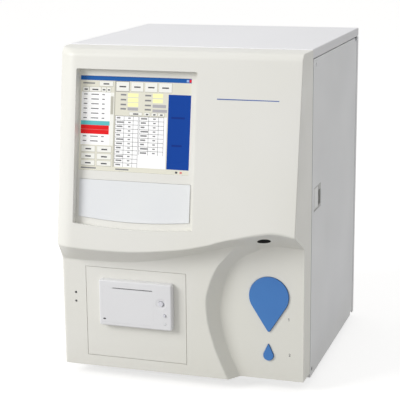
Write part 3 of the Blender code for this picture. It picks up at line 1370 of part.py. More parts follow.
def make_chamber():
    base = SHEET + GAP
    chamber = turned(
        "waste_chamber", (CHAMBER_X, CHAMBER_Y, base),
        [
            (0, CHAMBER_HEIGHT + NIPPLE_LENGTH), (CHAMBER_NECK, CHAMBER_HEIGHT + NIPPLE_LENGTH),
            (CHAMBER_NECK, CHAMBER_HEIGHT), (CHAMBER_RADIUS, CHAMBER_HEIGHT - CHAMBER_NECK),
            (CHAMBER_RADIUS, 0),
            (0, 0),
        ]
    )
    paint(chamber, CLEAR, 0.15)


def make_tubes():
    top = SHELF_Z + SHELF_SHEET
    low = top - BATH_DROP - NIPPLE_LENGTH - GAP
    neck = SHEET + GAP + CHAMBER_HEIGHT + NIPPLE_LENGTH + GAP
    fall = BATH_RADIUS
    for i, name in enumerate(("drain_tube_rear", "drain_tube_front")):
        x = bath_x(i)
        offset = (i - 0.5) * CHAMBER_NECK
        route = [
            (x, BATH_Y, low), (x, BATH_Y, low - fall), (x, BATH_Y + fall, low - 2 * fall),
            ((x + CHAMBER_X) / 2, (BATH_Y + CHAMBER_Y) / 2, neck + fall),
            (CHAMBER_X + offset, CHAMBER_Y - fall, neck + 2 * fall),
            (CHAMBER_X + offset, CHAMBER_Y, neck + fall),
            (CHAMBER_X + offset, CHAMBER_Y, neck),
        ]
        paint(tube(name, route, TUBE_RADIUS), CLEAR, 0.3)


# Electronics

def make_power_supply():
    left, right = SUPPLY_X - SUPPLY_WIDTH / 2, SUPPLY_X + SUPPLY_WIDTH / 2
    front = SUPPLY_BACK - SUPPLY_DEPTH
    base = SHEET + GAP
    supply = block("power_supply", (left, front, base), (right, SUPPLY_BACK, base + SUPPLY_HEIGHT), SHEET)
    terminals = block("supply_terminals", (left + TERMINAL_DEPTH, front - TERMINAL_DEPTH, base),
                      (right - TERMINAL_DEPTH, front + OVERRUN, base + TERMINAL_HEIGHT))
    join(supply, terminals)
    paint(supply, STEEL, 0.35, METAL_SHARE)


def make_pump():
    base = SHEET + GAP
    axis_z = base + PUMP_HEAD / 2
    left = PUMP_X - (PUMP_LENGTH + PUMP_HEAD) / 2
    pump = block("pump", (left, PUMP_Y - PUMP_HEAD / 2, base),
                 (left + PUMP_HEAD, PUMP_Y + PUMP_HEAD / 2, base + PUMP_HEAD), WALL)
    motor = drum("pump_motor", (left + PUMP_HEAD / 2, PUMP_Y, axis_z), (1, 0, 0),
                 PUMP_HEAD / 2 + PUMP_LENGTH, PUMP_RADIUS)
    saddle = block("pump_saddle", (left + PUMP_HEAD + PUMP_LENGTH / 3, PUMP_Y - PUMP_RADIUS, base),
                   (left + PUMP_HEAD + PUMP_LENGTH / 3 * 2, PUMP_Y + PUMP_RADIUS, axis_z))
    join(pump, motor, saddle)
    paint(pump, DARK, 0.4)


def make_board():
    right = DIVIDER_X - BOARD_OFFSET
    left = right - BOARD_THICKNESS
    board = block("main_board", (left, BOARD_FRONT, BOARD_FOOT), (right, BOARD_BACK, BOARD_TOP))
    depth, height = BOARD_BACK - BOARD_FRONT, BOARD_TOP - BOARD_FOOT
    for front, foot, back, top in BOARD_CHIP_SHARES:
        near = (left - CHIP_HEIGHT, BOARD_FRONT + depth * front, BOARD_FOOT + height * foot)
        far = (right - BOARD_THICKNESS / 2, BOARD_FRONT + depth * back, BOARD_FOOT + height * top)
        chip = block("board_chip", near, far)
        join(board, chip)
    for y in (BOARD_FRONT + BOARD_MARGIN, BOARD_BACK - BOARD_MARGIN):
        for z in (BOARD_FOOT + BOARD_MARGIN, BOARD_TOP - BOARD_MARGIN):
            join(board, drum("standoff", (right - BOARD_THICKNESS / 2, y, z), (1, 0, 0),
                             BOARD_OFFSET + BOARD_THICKNESS / 2 - GAP, STANDOFF_RADIUS, sides=TINY_SIDES))
    add_link_ports(board, right)
    paint(board, BOARD_GREEN, 0.45)


def add_link_ports(board, right):
    """The board's data sockets, which stand out through the rear panel."""
    front = CASE_DEPTH - LINK_DEPTH
    ports = block("link_ports", (LINK_X - LINK_WIDTH / 2, front, LINK_Z - LINK_HEIGHT / 2),
                  (LINK_X + LINK_WIDTH / 2, CASE_DEPTH + LINK_PROUD, LINK_Z + LINK_HEIGHT / 2))
    carrier = block("link_carrier",
                    (right - BOARD_THICKNESS, BOARD_BACK - OVERRUN, LINK_Z - LINK_HEIGHT / 2),
                    (right, front + OVERRUN, LINK_Z + LINK_HEIGHT / 2))
    bridge = block("link_bridge", (LINK_X, front, LINK_Z - LINK_HEIGHT / 3),
                   (right, front + OVERRUN / 2, LINK_Z + LINK_HEIGHT / 3))
    join(board, ports, carrier, bridge)
    pitch = LINK_HEIGHT / 3
    for i in range(3):
        z = LINK_Z + (i - 1) * pitch
        cut(board, block("link_socket", (LINK_X - LINK_WIDTH / 3, CASE_DEPTH - OVERRUN, z - pitch / 3),
                         (LINK_X + LINK_WIDTH / 3, CASE_DEPTH + OVERRUN, z + pitch / 3)))


def make_fan():
    front, back = CASE_DEPTH - SHEET - GAP - FAN_DEPTH, CASE_DEPTH - SHEET - GAP
    half = FAN_SIZE / 2
    frame = block("fan_frame", (FAN_X - half, front, FAN_Z - half), (FAN_X + half, back, FAN_Z + half))
    cut(frame, drum("fan_way", (FAN_X, front - OVERRUN, FAN_Z), (0, 1, 0), FAN_DEPTH + 2 * OVERRUN,
                    FAN_BORE))
    for angle in (math.pi / 4, 3 * math.pi / 4):
        strut = block("fan_strut", (-FAN_BORE - FAN_STRUT / 2, 0, -FAN_STRUT / 2),
                      (FAN_BORE + FAN_STRUT / 2, FAN_PLATE, FAN_STRUT / 2))
        strut.location = (FAN_X, front + FAN_PLATE / 2, FAN_Z)
        strut.rotation_euler = (0, angle, 0)
        join(frame, strut)
    join(frame, drum("fan_boss", (FAN_X, front, FAN_Z), (0, 1, 0), FAN_PLATE, FAN_HUB))
    paint(frame, BLACK_PLASTIC, 0.5)
    hub_front = front + FAN_PLATE + GAP
    hub_length = FAN_DEPTH - FAN_PLATE - 2 * GAP - SHEET
    rotor = drum("fan_rotor", (FAN_X, hub_front, FAN_Z), (0, 1, 0), hub_length, FAN_HUB)
    for i in range(FAN_BLADES):
        span = FAN_BORE - FAN_TIP_GAP - FAN_HUB / 2
        blade = block("fan_blade", (-FAN_BLADE / 2, -hub_length / 2 + SHEET, 0),
                      (FAN_BLADE / 2, hub_length / 2 - SHEET, span))
        turn = Matrix.Rotation(math.pi / 5, 4, "Z")
        blade.data.transform(turn @ Matrix.Translation((0, 0, FAN_HUB / 2 + span / 2)))
        blade.location = (FAN_X, hub_front + hub_length / 2, FAN_Z)
        blade.rotation_euler = (0, 2 * math.pi * i / FAN_BLADES, 0)
        join(rotor, blade)
    paint(rotor, BLACK_PLASTIC, 0.5)
    make_fan_guard()


def make_fan_guard():
    near = CASE_DEPTH + GAP
    outer = GUARD_RINGS[-1] + GUARD_WIRE
    guard = ring("fan_guard", near, outer, outer - 2 * GUARD_WIRE)
    for radius in GUARD_RINGS[:-1]:
        join(guard, ring("guard_ring", near, radius + GUARD_WIRE / 2, radius - GUARD_WIRE / 2))
    for angle in (math.pi / 4, 3 * math.pi / 4):
        bar = block("guard_bar", (-outer + GUARD_WIRE, -GUARD_PROUD / 2, -GUARD_WIRE / 2),
                    (outer - GUARD_WIRE, GUARD_PROUD / 2 - GUARD_WIRE / 2, GUARD_WIRE / 2))
        bar.location = (FAN_X, near + GUARD_PROUD / 2 + GUARD_WIRE / 4, FAN_Z)
        bar.rotation_euler = (0, angle, 0)
        join(guard, bar)
    paint(guard, STEEL, 0.3, 1.0)


def ring(name, near, outer, inner):
    body = drum(name, (FAN_X, near, FAN_Z), (0, 1, 0), GUARD_PROUD, outer)
    hole = drum(f"{name}_hole", (FAN_X, near - OVERRUN, FAN_Z), (0, 1, 0), GUARD_PROUD + 2 * OVERRUN,
                inner)
    return cut(body, hole)


def port_places():
    return [PORT_X + (i - (PORT_COUNT - 1) / 2) * PORT_PITCH for i in range(PORT_COUNT)]


def make_ports():
    half = PORT_COUNT * PORT_PITCH / 2
    near = CASE_DEPTH + GAP
    ports = block("reagent_ports", (PORT_X - half, near, PORT_Z - PORT_HEIGHT / 2),
                  (PORT_X + half, near + PORT_PLATE, PORT_Z + PORT_HEIGHT / 2), SHEET)
    for x in port_places():
        reach = REAR_REACH - GAP
        join(ports, drum("port_nozzle", (x, CASE_DEPTH + REAR_REACH, PORT_Z), (0, -1, 0),
                         reach + 3 * OVERRUN, PORT_RADIUS, sides=SMALL_SIDES))
    paint(ports, BLACK_PLASTIC, 0.5)


def make_inlet():
    back = CASE_DEPTH + GAP
    half_width, half_height = INLET_WIDTH / 2, INLET_HEIGHT / 2
    wide, high = half_width + INLET_FLANGE, half_height + INLET_FLANGE
    inlet = block("power_inlet", (INLET_X - wide, back, INLET_Z - high),
                  (INLET_X + wide, back + INLET_LIP, INLET_Z + high), SHEET / 2)
    body = block("inlet_body", (INLET_X - half_width, CASE_DEPTH - INLET_DEPTH, INLET_Z - half_height),
                 (INLET_X + half_width, back + INLET_LIP / 2, INLET_Z + half_height))
    join(inlet, body)
    socket_x = INLET_X + SOCKET_SHIFT
    face = back + INLET_LIP
    cut(inlet, block("inlet_socket",
                     (socket_x - SOCKET_WIDTH / 2, face - SOCKET_DEPTH, INLET_Z - SOCKET_HEIGHT / 2),
                     (socket_x + SOCKET_WIDTH / 2, face + OVERRUN, INLET_Z + SOCKET_HEIGHT / 2)))
    for i in (-1, 0, 1):
        x = socket_x + i * CONTACT_PITCH
        z = INLET_Z + (1 - abs(i)) * CONTACT_WIDTH
        floor = face - SOCKET_DEPTH
        join(inlet, block("inlet_contact", (x - CONTACT_WIDTH / 2, floor - CONTACT_WIDTH, z - CONTACT_WIDTH),
                          (x + CONTACT_WIDTH / 2, floor + CONTACT_REACH, z + CONTACT_WIDTH)))
    rocker_x = INLET_X - ROCKER_SHIFT
    half_room = ROCKER_WIDTH / 2 - ROCKER_GAP
    cut(inlet, block("rocker_room",
                     (rocker_x - half_room, face - 2 * ROCKER_DEPTH, INLET_Z - ROCKER_HEIGHT / 2),
                     (rocker_x + half_room, face + OVERRUN, INLET_Z + ROCKER_HEIGHT / 2)))
    paint(inlet, BLACK_PLASTIC, 0.5)
    return rocker_x, face


def make_rocker(rocker_x, face):
    half_width = ROCKER_WIDTH / 2 - ROCKER_GAP - GAP
    half_height = ROCKER_HEIGHT / 2 - ROCKER_GAP
    axis_y = face - ROCKER_DEPTH / 2
    back = axis_y - ROCKER_DEPTH / 3
    left, right = rocker_x - half_width, rocker_x + half_width
    rings = []
    for side, front in ((-1, face), (0, face - SHEET), (1, face)):
        back_z = INLET_Z + side * half_height * ROCKER_BACK_SHARE
        front_z = INLET_Z + side * half_height * ROCKER_FACE_SHARE
        rings.append([(left, back, back_z), (right, back, back_z), (right, front, front_z), (left, front, front_z)])
    rocker = loft("rocker_switch", rings)
    move_origin(rocker, (rocker_x, axis_y, INLET_Z))
    paint(rocker, DARK, 0.4)


def build():
    make_base()
    make_top_cover()
    make_left_panel()
    make_rear_panel()
    make_front_frame()
    make_divider()
    make_bezel()
    make_screen()
    make_printer_panel()
    make_printer_housing()
    make_printer_cover()
    make_printer_inside()
    make_status_lamps()
    make_drop_plate("start", START_X, START_Z, START_RADIUS, START_POINT, DROP_TIP)
    make_drop_plate("dilute", DILUTE_X, DILUTE_Z, DILUTE_RADIUS, DILUTE_POINT, DROP_TIP_SMALL)
    make_switch_board()
    make_probe_frame()
    make_probe_drive()
    make_carriage()
    make_wash_bush()
    make_door()
    make_pivots()
    make_latch()
    make_door_screw()
    make_bath_shelf()
    make_baths()
    make_syringe()
    make_valves()
    make_chamber()
    make_tubes()
    make_power_supply()
    make_pump()
    make_board()
    make_fan()
    make_ports()
    make_rocker(*make_inlet())


build()
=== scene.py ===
"""Looks of a benchtop hematology analyzer, built piece by piece around its packed construction model."""

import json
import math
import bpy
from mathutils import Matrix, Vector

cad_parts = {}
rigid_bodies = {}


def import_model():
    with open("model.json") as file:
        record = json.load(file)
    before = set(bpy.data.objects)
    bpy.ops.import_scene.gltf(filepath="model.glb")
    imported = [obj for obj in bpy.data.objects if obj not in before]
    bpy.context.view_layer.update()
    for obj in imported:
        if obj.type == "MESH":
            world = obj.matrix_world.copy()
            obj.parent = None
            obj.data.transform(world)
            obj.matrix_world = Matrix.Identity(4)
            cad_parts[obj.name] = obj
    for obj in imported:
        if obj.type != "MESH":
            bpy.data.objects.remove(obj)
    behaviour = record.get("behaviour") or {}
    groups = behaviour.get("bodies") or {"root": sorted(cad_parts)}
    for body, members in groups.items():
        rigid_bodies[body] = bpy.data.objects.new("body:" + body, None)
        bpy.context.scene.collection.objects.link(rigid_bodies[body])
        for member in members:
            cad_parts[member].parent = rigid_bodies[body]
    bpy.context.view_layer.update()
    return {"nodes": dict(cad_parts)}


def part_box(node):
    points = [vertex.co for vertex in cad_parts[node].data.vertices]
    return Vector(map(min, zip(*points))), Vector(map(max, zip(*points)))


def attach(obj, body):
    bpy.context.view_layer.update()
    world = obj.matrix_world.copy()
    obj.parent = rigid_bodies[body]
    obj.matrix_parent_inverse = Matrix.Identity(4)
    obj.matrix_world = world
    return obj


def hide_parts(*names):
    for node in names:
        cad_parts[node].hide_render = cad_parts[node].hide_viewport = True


bl_info = {
    "name": "Hematology analyzer",
    "version": (1, 0, 0),
    "blender": (4, 5, 0),
    "location": "3D View > Sidebar > Analyzer",
    "description": "Builds the finished pieces of a benchtop blood cell counter around its solids",
    "category": "Add Mesh",
}

import bmesh
import bpy
from bpy.props import FloatProperty, FloatVectorProperty, IntProperty, PointerProperty
from bpy.types import Operator, Panel, PropertyGroup
from mathutils import Matrix, Vector

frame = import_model()

# Directions
RIGHTWARD = (1, 0, 0)
LEFTWARD = (-1, 0, 0)
BACKWARD = (0, 1, 0)
FORWARD = (0, -1, 0)
UPWARD = (0, 0, 1)
DOWNWARD = (0, 0, -1)

# Measures of the case, read from the construction model
SIDE_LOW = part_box("left_side_panel")[0]
COVER_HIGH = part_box("top_cover")[1]
CASE_ORIGIN = Vector((0, SIDE_LOW.y, SIDE_LOW.z))
HALF = COVER_HIGH.x
CASE_WIDTH = 2 * HALF
CASE_DEPTH = COVER_HIGH.y - SIDE_LOW.y
CASE_HEIGHT = COVER_HIGH.z - SIDE_LOW.z

# A hair's gap between pieces, how far a cutter reaches past what it cuts, and small roundings
GAP = 0.0003
OVERRUN = 0.006
LEAST_ROUND = 0.0002
FINE_ROUND = 0.0004
SOFT_ROUND = 0.0006

# The bezel, counted from the case front and its lower edge
WALL = 0.003
LIP_REACH = 0.0898
LIP_SWEEP = 0.0058
TOP_REACH = 0.0495
TOP_DROP = 0.001
TOP_RADIUS = 0.012
LOWER_REACH = 0.0546
PANEL_REACH = 0.036
PANEL_WALL = 0.006
BEZEL_BOTTOM = 0.008
SIDE_DRAFT = 0.0023
LEFT_RADIUS = 0.028
LOWER_RADIUS = 0.004
LIP_REFERENCE_HEIGHT = 0.223
BAND_RISE = 0.0015
RIGHT_BAND_HEIGHT = 0.185
FASCIA_TILT = math.atan2(LIP_REACH - LIP_SWEEP - TOP_REACH, CASE_HEIGHT - TOP_DROP - LIP_REFERENCE_HEIGHT)

# Lines of the front: across as a share of half the width, up as a share of the height
LIP_SHARES = (
    (-1.0, 0.417), (-0.92, 0.4155), (-0.65, 0.411), (-0.394, 0.411), (-0.259, 0.4135), (-0.135, 0.418),
    (0.112, 0.4305), (0.33, 0.450), (0.376, 0.457), (0.582, 0.479), (0.724, 0.492), (0.818, 0.4975),
    (0.894, 0.4965), (1.0, 0.489),
)
BAND_SHARES = (
    (-1.0, 0.3575), (-0.735, 0.357), (-0.47, 0.3595), (-0.212, 0.371), (0.045, 0.392), (0.27, 0.415),
    (0.488, 0.437),
)
RECESS_OUTER_SHARES = (
    (0.441, -0.011), (0.402, 0.023), (0.321, 0.093), (0.268, 0.154), (0.241, 0.200), (0.230, 0.247),
    (0.238, 0.278), (0.276, 0.326), (0.334, 0.371), (0.416, 0.407), (0.488, 0.437), (0.610, 0.4396),
    (0.681, 0.451), (0.824, 0.4565), (1.03, 0.452),
)
RECESS_INNER_SHARES = (
    (0.518, -0.011), (0.479, 0.019), (0.400, 0.084), (0.349, 0.140), (0.324, 0.187), (0.316, 0.229),
    (0.326, 0.267), (0.349, 0.307), (0.399, 0.349), (0.479, 0.382), (0.529, 0.397), (0.610, 0.413),
    (0.681, 0.427), (0.824, 0.431), (1.03, 0.428),
)
RECESS_SIDE_END = 0.488
RECESS_FOOT = -0.011
RECESS_MIDDLE = (0.72, 0.22)

# The recess's edge fades from soft to sharp above a height, and is soft again where it turns to the overhang
RECESS_FADE_HEIGHT = 0.33
RECESS_FADE_REACH = 0.07
RECESS_TURN = 0.006
RECESS_TURN_START = 0.9

# Soft corners of the recess aim at points this far away
AIM = 0.1

# Screen, printer and plates: a box is left, right, foot, top, and a round thing is across, up, radius
SCREEN = (-0.138, 0.030, 0.2195, 0.423)
SCREEN_BOW = 0.0045
SCREEN_DEPTH = 0.012
SCREEN_PLATE = 0.003
SCREEN_RIM = 0.0025
SCREEN_MARGIN = 0.007
LCD = (-0.137, 0.019, 0.2902, 0.4145)
TRIM = (-0.134, 0.0225, 0.2285, 0.278)
PANEL = (-0.1334, 0.0114, 0.024, 0.1518)
PANEL_THICKNESS = 0.0012
PRINTER = (-0.1108, -0.006, 0.0725, 0.1372)
PRINTER_PROUD = 0.010
PRINTER_DEPTH = 0.046
PRINTER_INSET = 0.003
PRINTER_WALL = 0.002
PRINTER_COLUMN = 0.026
COVER_PLATE = 0.0022
COVER_PIVOT = 0.0016
BUTTON_GAP = 0.0004
SLOT_HEIGHT = 0.127
SLOT_MARGIN = 0.0014
KEY_SPARE = 0.001
RELEASE = (-0.021, 0.110, 0.0038)
FEED = (-0.016, 0.094, 0.002)
LAMP = (-0.0154, 0.0818, 0.0015)
KEY_EDGES = {"release_button": 0.0008, "feed_key": 0.0005}
KEY_DISH = 0.05
LENS_DOME = 0.5
COVER_MARK = (0.0026, 0.0822, 0.0021, 0.0011)
STATUS_X = -0.149
STATUS_HEIGHTS = (0.113, 0.1005)
STATUS_RADIUS = 0.0014
STATUS_BOARD = 0.0016
STATUS_DOME = 0.7

# A drop-shaped plate is across, up and radius of its head, then height and radius of its point
START = (0.1217, 0.1245, 0.0272, 0.0758, 0.0022)
DILUTE = (0.1213, 0.042, 0.0070, 0.058, 0.0006)
DROP_PROUD = 0.0022
DROP_SINK = 0.0006
DROP_POCKET = 0.0028
DROP_GAP = 0.0005
DROP_STEM = 0.003

# The sampling place, the stripe and the printer's inner parts
PROBE_PLACE = (0.121, -0.060, 0.2185)
PROBE_HOLE = 0.009
WASH_RADIUS = 0.008
UNIT_FOOT = 0.230
UNIT_PLATE = 0.002
STRIPE = (0.058, 0.140, 0.390)
PRINTER_FACE = -LOWER_REACH - PRINTER_PROUD
PRINTER_BACK = -LOWER_REACH + PRINTER_DEPTH
COVER_LEFT = PRINTER[0] + PRINTER_WALL + PRINTER_INSET
COVER_RIGHT = PRINTER[1] - PRINTER_COLUMN
COVER_FOOT = PRINTER[2] + PRINTER_WALL + PRINTER_INSET
COVER_AXIS_Y = PRINTER_FACE + COVER_PIVOT
COVER_AXIS_Z = COVER_FOOT + COVER_PIVOT + BUTTON_GAP
COVER_PIN = 0.001
BUTTON_LENGTH = 0.006
PLATEN_RADIUS = 0.003
PLATEN_SHAFT = 0.0012
PLATEN_Y = PRINTER_FACE + COVER_PLATE + PLATEN_RADIUS + GAP
PLATEN_Z = SLOT_HEIGHT - PLATEN_RADIUS - GAP

# Screws, fan, inlet and ports of the back
SCREW_HEIGHT = 0.0016
SCREW_SINK = 0.0004
REAR_SCREW_X = 0.155
REAR_SCREW_HEIGHTS = (0.02, 0.225, 0.42)
SHEET = 0.0015
FAN = (-0.100, 0.345)
FAN_DEPTH = 0.025
FAN_BORE = 0.038
FAN_HUB = 0.016
FAN_PLATE = 0.003
FAN_TIP_GAP = 0.0015
FAN_BLADES = 7
GUARD_RINGS = (0.014, 0.023, 0.032)
GUARD_RIM = 0.040
GUARD_ARM = 0.0395
INLET = (-0.105, 0.105)
INLET_FLANGE = 0.002
INLET_DEPTH = 0.015
INLET_MIDDLE = 0.009
CONTACT_PITCH = 0.007
CONTACT_RISE = 0.002
CONTACT_HALF = (0.0011, 0.0021)
CONTACT_REACH = 0.0092
PORTS = (0.090, 0.080, 0.096, 0.026)
PORT_PITCH = 0.024
PORT_PLATE = 0.003
PORT_ROUND = 0.0009

# A blade's lean in degrees at its root and added at its tip, its sweep in radians, the rest as shares
BLADE_LEAN = (32, 14)
BLADE_SWEEP = 0.16
BLADE_ROOT = 0.8
BLADE_CHORD = (0.42, 0.03)
BLADE_THINNING = 0.35
BLADE_CAMBER = 0.9

# Door and latch
FLAT_SCREW = 0.001
DOOR_SCREW_RADIUS = 0.003
DOOR_SHANK_RADIUS = 0.0015
DOOR_SHANK_END = 0.0008
LATCH_PIN = 0.7

# Board, chips, pump and data sockets
DIVIDER_X = 0.028
BOARD_OFFSET = 0.006
BOARD_THICKNESS = 0.0016
BOARD = (0.040, 0.250, 0.140, 0.400)
BOARD_ROUND = 0.00015
PUMP_ROUND = 0.0005
LINK_X = 0.005
LINK_Z = 0.300
LINK_WIDTH = 0.018
LINK_HEIGHT = 0.070
LINK_PROUD = 0.004
LINK_DEPTH = 0.012
TONGUE_ROUND = 0.0003
CHIP_FACE = 0.0061
CHIP_SEAT = 0.0002
BOARD_CHIP_SHARES = (
    (0.12, 0.62, 0.30, 0.78), (0.40, 0.60, 0.66, 0.82), (0.75, 0.65, 0.90, 0.78), (0.14, 0.25, 0.34, 0.45),
    (0.45, 0.28, 0.60, 0.42), (0.70, 0.12, 0.92, 0.50),
)

# Fluids
VALVES = 6
VALVE_PLATE = 0.006
SYRINGE_NECK = 0.010
NIPPLE = (0.090, 0.1457)
NECK_HEIGHT = 0.0871
NECK_SPREAD = 0.008
TUBE_BEND = 0.014
TUBE_RADIUS = 0.002
TUBE_STARTS = (("drain_tube_rear", 0.052), ("drain_tube_front", 0.090))

# Turned shapes as (radius, height)
NOZZLE_LINE = (
    (0.0014, 0.0140), (0.0024, 0.0140), (0.0034, 0.0113), (0.0026, 0.0108), (0.0034, 0.0080),
    (0.0026, 0.0076), (0.0026, 0.0050), (0.0034, 0.0040), (0.0034, -0.0120), (0.0026, -0.0124),
    (0.0034, -0.0150), (0.0024, -0.0177), (0.0014, -0.0177), (0.0014, 0.0140),
)
BATH_LINE = (
    (0.014, 0.050), (0.0168, 0.050), (0.0168, 0.0465), (0.014, 0.0465), (0.014, 0.0235), (0.0128, 0.0190),
    (0.0098, 0.0150), (0.0060, 0.0122), (0.003, 0.0105), (0.003, 0), (0.0014, 0), (0.0014, 0.0125),
    (0.0052, 0.0142), (0.0086, 0.0168), (0.0108, 0.0200), (0.012, 0.0245),
)
BUSH_LINE = (
    (0.003, 0.0030), (0.0112, 0.0030), (0.0115, 0.0027), (0.0115, GAP), (WASH_RADIUS, GAP),
    (WASH_RADIUS, -0.0094), (0.0074, -0.0100), (0.003, -0.0100), (0.003, 0.0030),
)
COIL_LINE = (
    (0, 0), (0.0100, 0), (0.0100, 0.022), (0.0092, 0.0225), (0.0092, 0.0245), (0.0100, 0.025),
    (0.0100, 0.033), (0.0090, 0.034), (0.0034, 0.034), (0.0030, 0.0325), (0, 0.0325),
)
BOTTLE_LINE = (
    (0, 0.085), (0.008, 0.085), (0.008, 0.0752), (0.021, 0.0740), (0.0262, 0.0712), (0.028, 0.0665),
    (0.028, 0.050), (0.0274, 0.0492), (0.0274, 0.0458), (0.028, 0.045), (0.028, 0.001), (0.027, 0), (0, 0),
)

# Camera and stage, from the standing face's zero
CAMERA_PLACE = (0.5207, -1.6797, 0.6330)
CAMERA_YAW = 17.94
CAMERA_PITCH = 13.14
CAMERA_ROLL = 0.55
LAMP_SIZE = 1.4
LAMP_AIM = (0, 0, 0.2)
KEY_PLACE = (-2.1, -2.0, 1.6)
TOP_PLACE = (-0.2, 0.3, 2.7)
FLOOR_SIZE = 30
FLOOR_GLOW = 0.66
FLOOR_TINT = (1, 0.99, 0.97)


def srgb(red, green, blue):
    """A screen colour, 0 to 255, as the linear numbers that a shader takes."""
    return tuple(
        (share / 12.92) if share <= 0.04045 else ((share + 0.055) / 1.055) ** 2.4
        for share in (red / 255, green / 255, blue / 255)
    )


def number(name, description, default, least=0.0, **options):
    return FloatProperty(name=name, description=description, default=default, min=least, **options)


def length(name, description, default):
    return number(name, description, default, unit="LENGTH", subtype="DISTANCE", precision=5)


def pair(name, description, default):
    return FloatVectorProperty(name=name, description=description, default=default, size=2, unit="LENGTH",
                               precision=4)


def colour(name, description, red, green, blue):
    return FloatVectorProperty(name=name, description=description, default=srgb(red, green, blue), size=3,
                               min=0.0, max=1.0, subtype="COLOR")


class BezelSizes(PropertyGroup):
    lip_round: length("Lip rounding", "How far the wavy lip's edge is softened", 0.0022)
    cove: length("Cove", "Softening where the band meets the lower face", 0.0022)
    foot_round: length("Foot rounding", "Softening of the lower front edge", 0.0012)
    side_round: length("Side rounding", "Rounding of the right edge", 0.0012)
    recess_edge: length("Recess edge", "Softening of the sampling recess's outer edge", 0.0020)
    recess_cove: length("Recess cove", "Softening at the back of the sampling recess", 0.0016)
    screen_edge: length("Screen edge", "Softening round the screen opening", 0.0007)
    screen_corner: length("Screen corner", "Corner radius of the screen opening", 0.0020)
    columns: IntProperty(name="Columns", description="Upright sections across the bezel", default=54,
                         min=20, max=90)


class FrontSizes(PropertyGroup):
    panel_edge: length("Panel edge", "Rounding of the printer panel's rim", 0.0003)
    printer_corner: length("Printer corner", "Corner radius of the printer's face", 0.0032)
    printer_edge: length("Printer edge", "Rounding of the printer's front edge", 0.0022)
    slot_length: length("Paper slot", "Length of the slot that the paper leaves by", 0.0576)
    slot_width: length("Slot width", "Height of the paper slot", 0.0013)
    drop_edge: length("Plate edge", "Rounding of the drop-shaped plates", 0.0006)
    stripe_height: length("Stripe height", "Height of the blue stripe on the upper front", 0.0011)
    window_edge: length("Window edge", "Softening round the display's window", 0.0006)
    seam: length("Seam", "Width of the seam round the plate under the display", 0.0005)
    dish_radius: length("Dish radius", "Radius of the dish round the release button", 0.0078)
    dish_depth: length("Dish depth", "Depth of the dish round the release button", 0.0011)
    cap_proud: length("Cap proud", "How far the printer's keys stand out", 0.0016)
    cap_share: number("Cap share", "A key's share of its hole", 0.9, 0.5, max=1.0, subtype="FACTOR")
    cover_gap: length("Cover gap", "Gap round the printer's cover", 0.00004)
    number_height: length("Number height", "Height of the printed numbers", 0.0040)
    first_number: pair("First number", "Its lower left corner, across and up", (0.1475, 0.0925))
    second_number: pair("Second number", "Its lower left corner, across and up", (0.1490, 0.0430))


class ShellSizes(PropertyGroup):
    sheet_round: length("Sheet rounding", "Rounding of the folded sheet-metal edges", 0.0003)
    cover_round: length("Cover rounding", "Rounding of the top cover's folds", 0.0013)
    blade: length("Blade", "Thickness of a fan blade at the hub", 0.0016)
    thread_pitch: length("Thread pitch", "Distance between the lead screw's grooves", 0.0020)
    screw_head: length("Screw head", "Radius of the visible screw heads", 0.0030)
    guard_wire: length("Guard wire", "Thickness of the fan guard's wires", 0.0015)
    latch_wall: length("Latch wall", "Width of the latch's rim", 0.0015)
    latch_corner: length("Latch corner", "How far the corners of the latch's finger slot reach", 0.0040)
    paddle_plate: length("Paddle plate", "Thickness of the latch's paddle", 0.0020)
    door_seam: length("Door seam", "Gap between the front moulding and the door", 0.0016)
    lower_screw: pair("Lower screw", "Place of the door's lower screw, back and up", (0.0125, 0.0105))
    slot_margins: pair("Slot margins", "How far the finger slot stops short, below and above", (0.002, 0.006))


class FinishColours(PropertyGroup):
    bezel: colour("Bezel", "Moulded front", 232, 231, 226)
    bezel_drift: colour("Bezel drift", "Slightly warmer tone that the front drifts to", 229, 228, 220)
    case: colour("Case", "Powder-coated sides", 230, 231, 233)
    case_drift: colour("Case drift", "Tone that the sides drift to", 225, 226, 227)
    cover: colour("Cover", "Powder-coated top", 243, 243, 245)
    printer: colour("Printer", "Printer plastic", 231, 231, 233)
    trim: colour("Trim", "Plate under the display", 234, 236, 237)
    plate: colour("Plates", "Drop-shaped plates", 66, 126, 194)
    stripe: colour("Stripe", "Printed stripe", 44, 84, 160)
    ink: colour("Ink", "Printed numbers", 60, 60, 66)
    dark: colour("Dark plastic", "Black plastic parts", 44, 44, 47)


class StageSettings(PropertyGroup):
    lens: number("Lens", "Focal length on a 36 mm sensor", 111.55, 10.0, unit="CAMERA")
    sky: number("Sky", "Strength of the even light from all round", 0.60)
    key: number("Key", "Power of the large soft lamp at the front left", 58.0, unit="POWER")
    top: number("Top", "Power of the weak lamp overhead", 4.0, unit="POWER")
    floor: number("Floor", "Share of the light that the floor gives back", 0.52, max=1.0, subtype="FACTOR")


# Selecting and handing over: the angles are in degrees, and doubled points lie closer than these metres
EDGE_ANGLE = 40
SOLID_EDGE_ANGLE = 50
SMOOTH_ANGLE = 32
FLAT_ANGLE = 1
MERGE = 1e-6
SOLID_MERGE = 5e-6


def object_mode():
    if bpy.context.mode != "OBJECT":
        bpy.ops.object.mode_set(mode="OBJECT")


def take(*pieces):
    """Selects these objects and nothing else."""
    object_mode()
    bpy.ops.object.select_all(action="DESELECT")
    for piece in pieces:
        piece.select_set(True)
    bpy.context.view_layer.objects.active = pieces[0] if pieces else None


def settle(piece, **moves):
    """Moves or turns a piece, and puts its place in its mesh."""
    take(piece)
    for name, value in moves.items():
        setattr(piece, name, value)
    bpy.ops.object.transform_apply(location=True, rotation=True, scale=True)
    return piece


def named(piece, name):
    piece.name = piece.data.name = name
    return piece


def added(name):
    """Names the primitive that was just added, with its place in its mesh."""
    return named(settle(bpy.context.active_object), name)


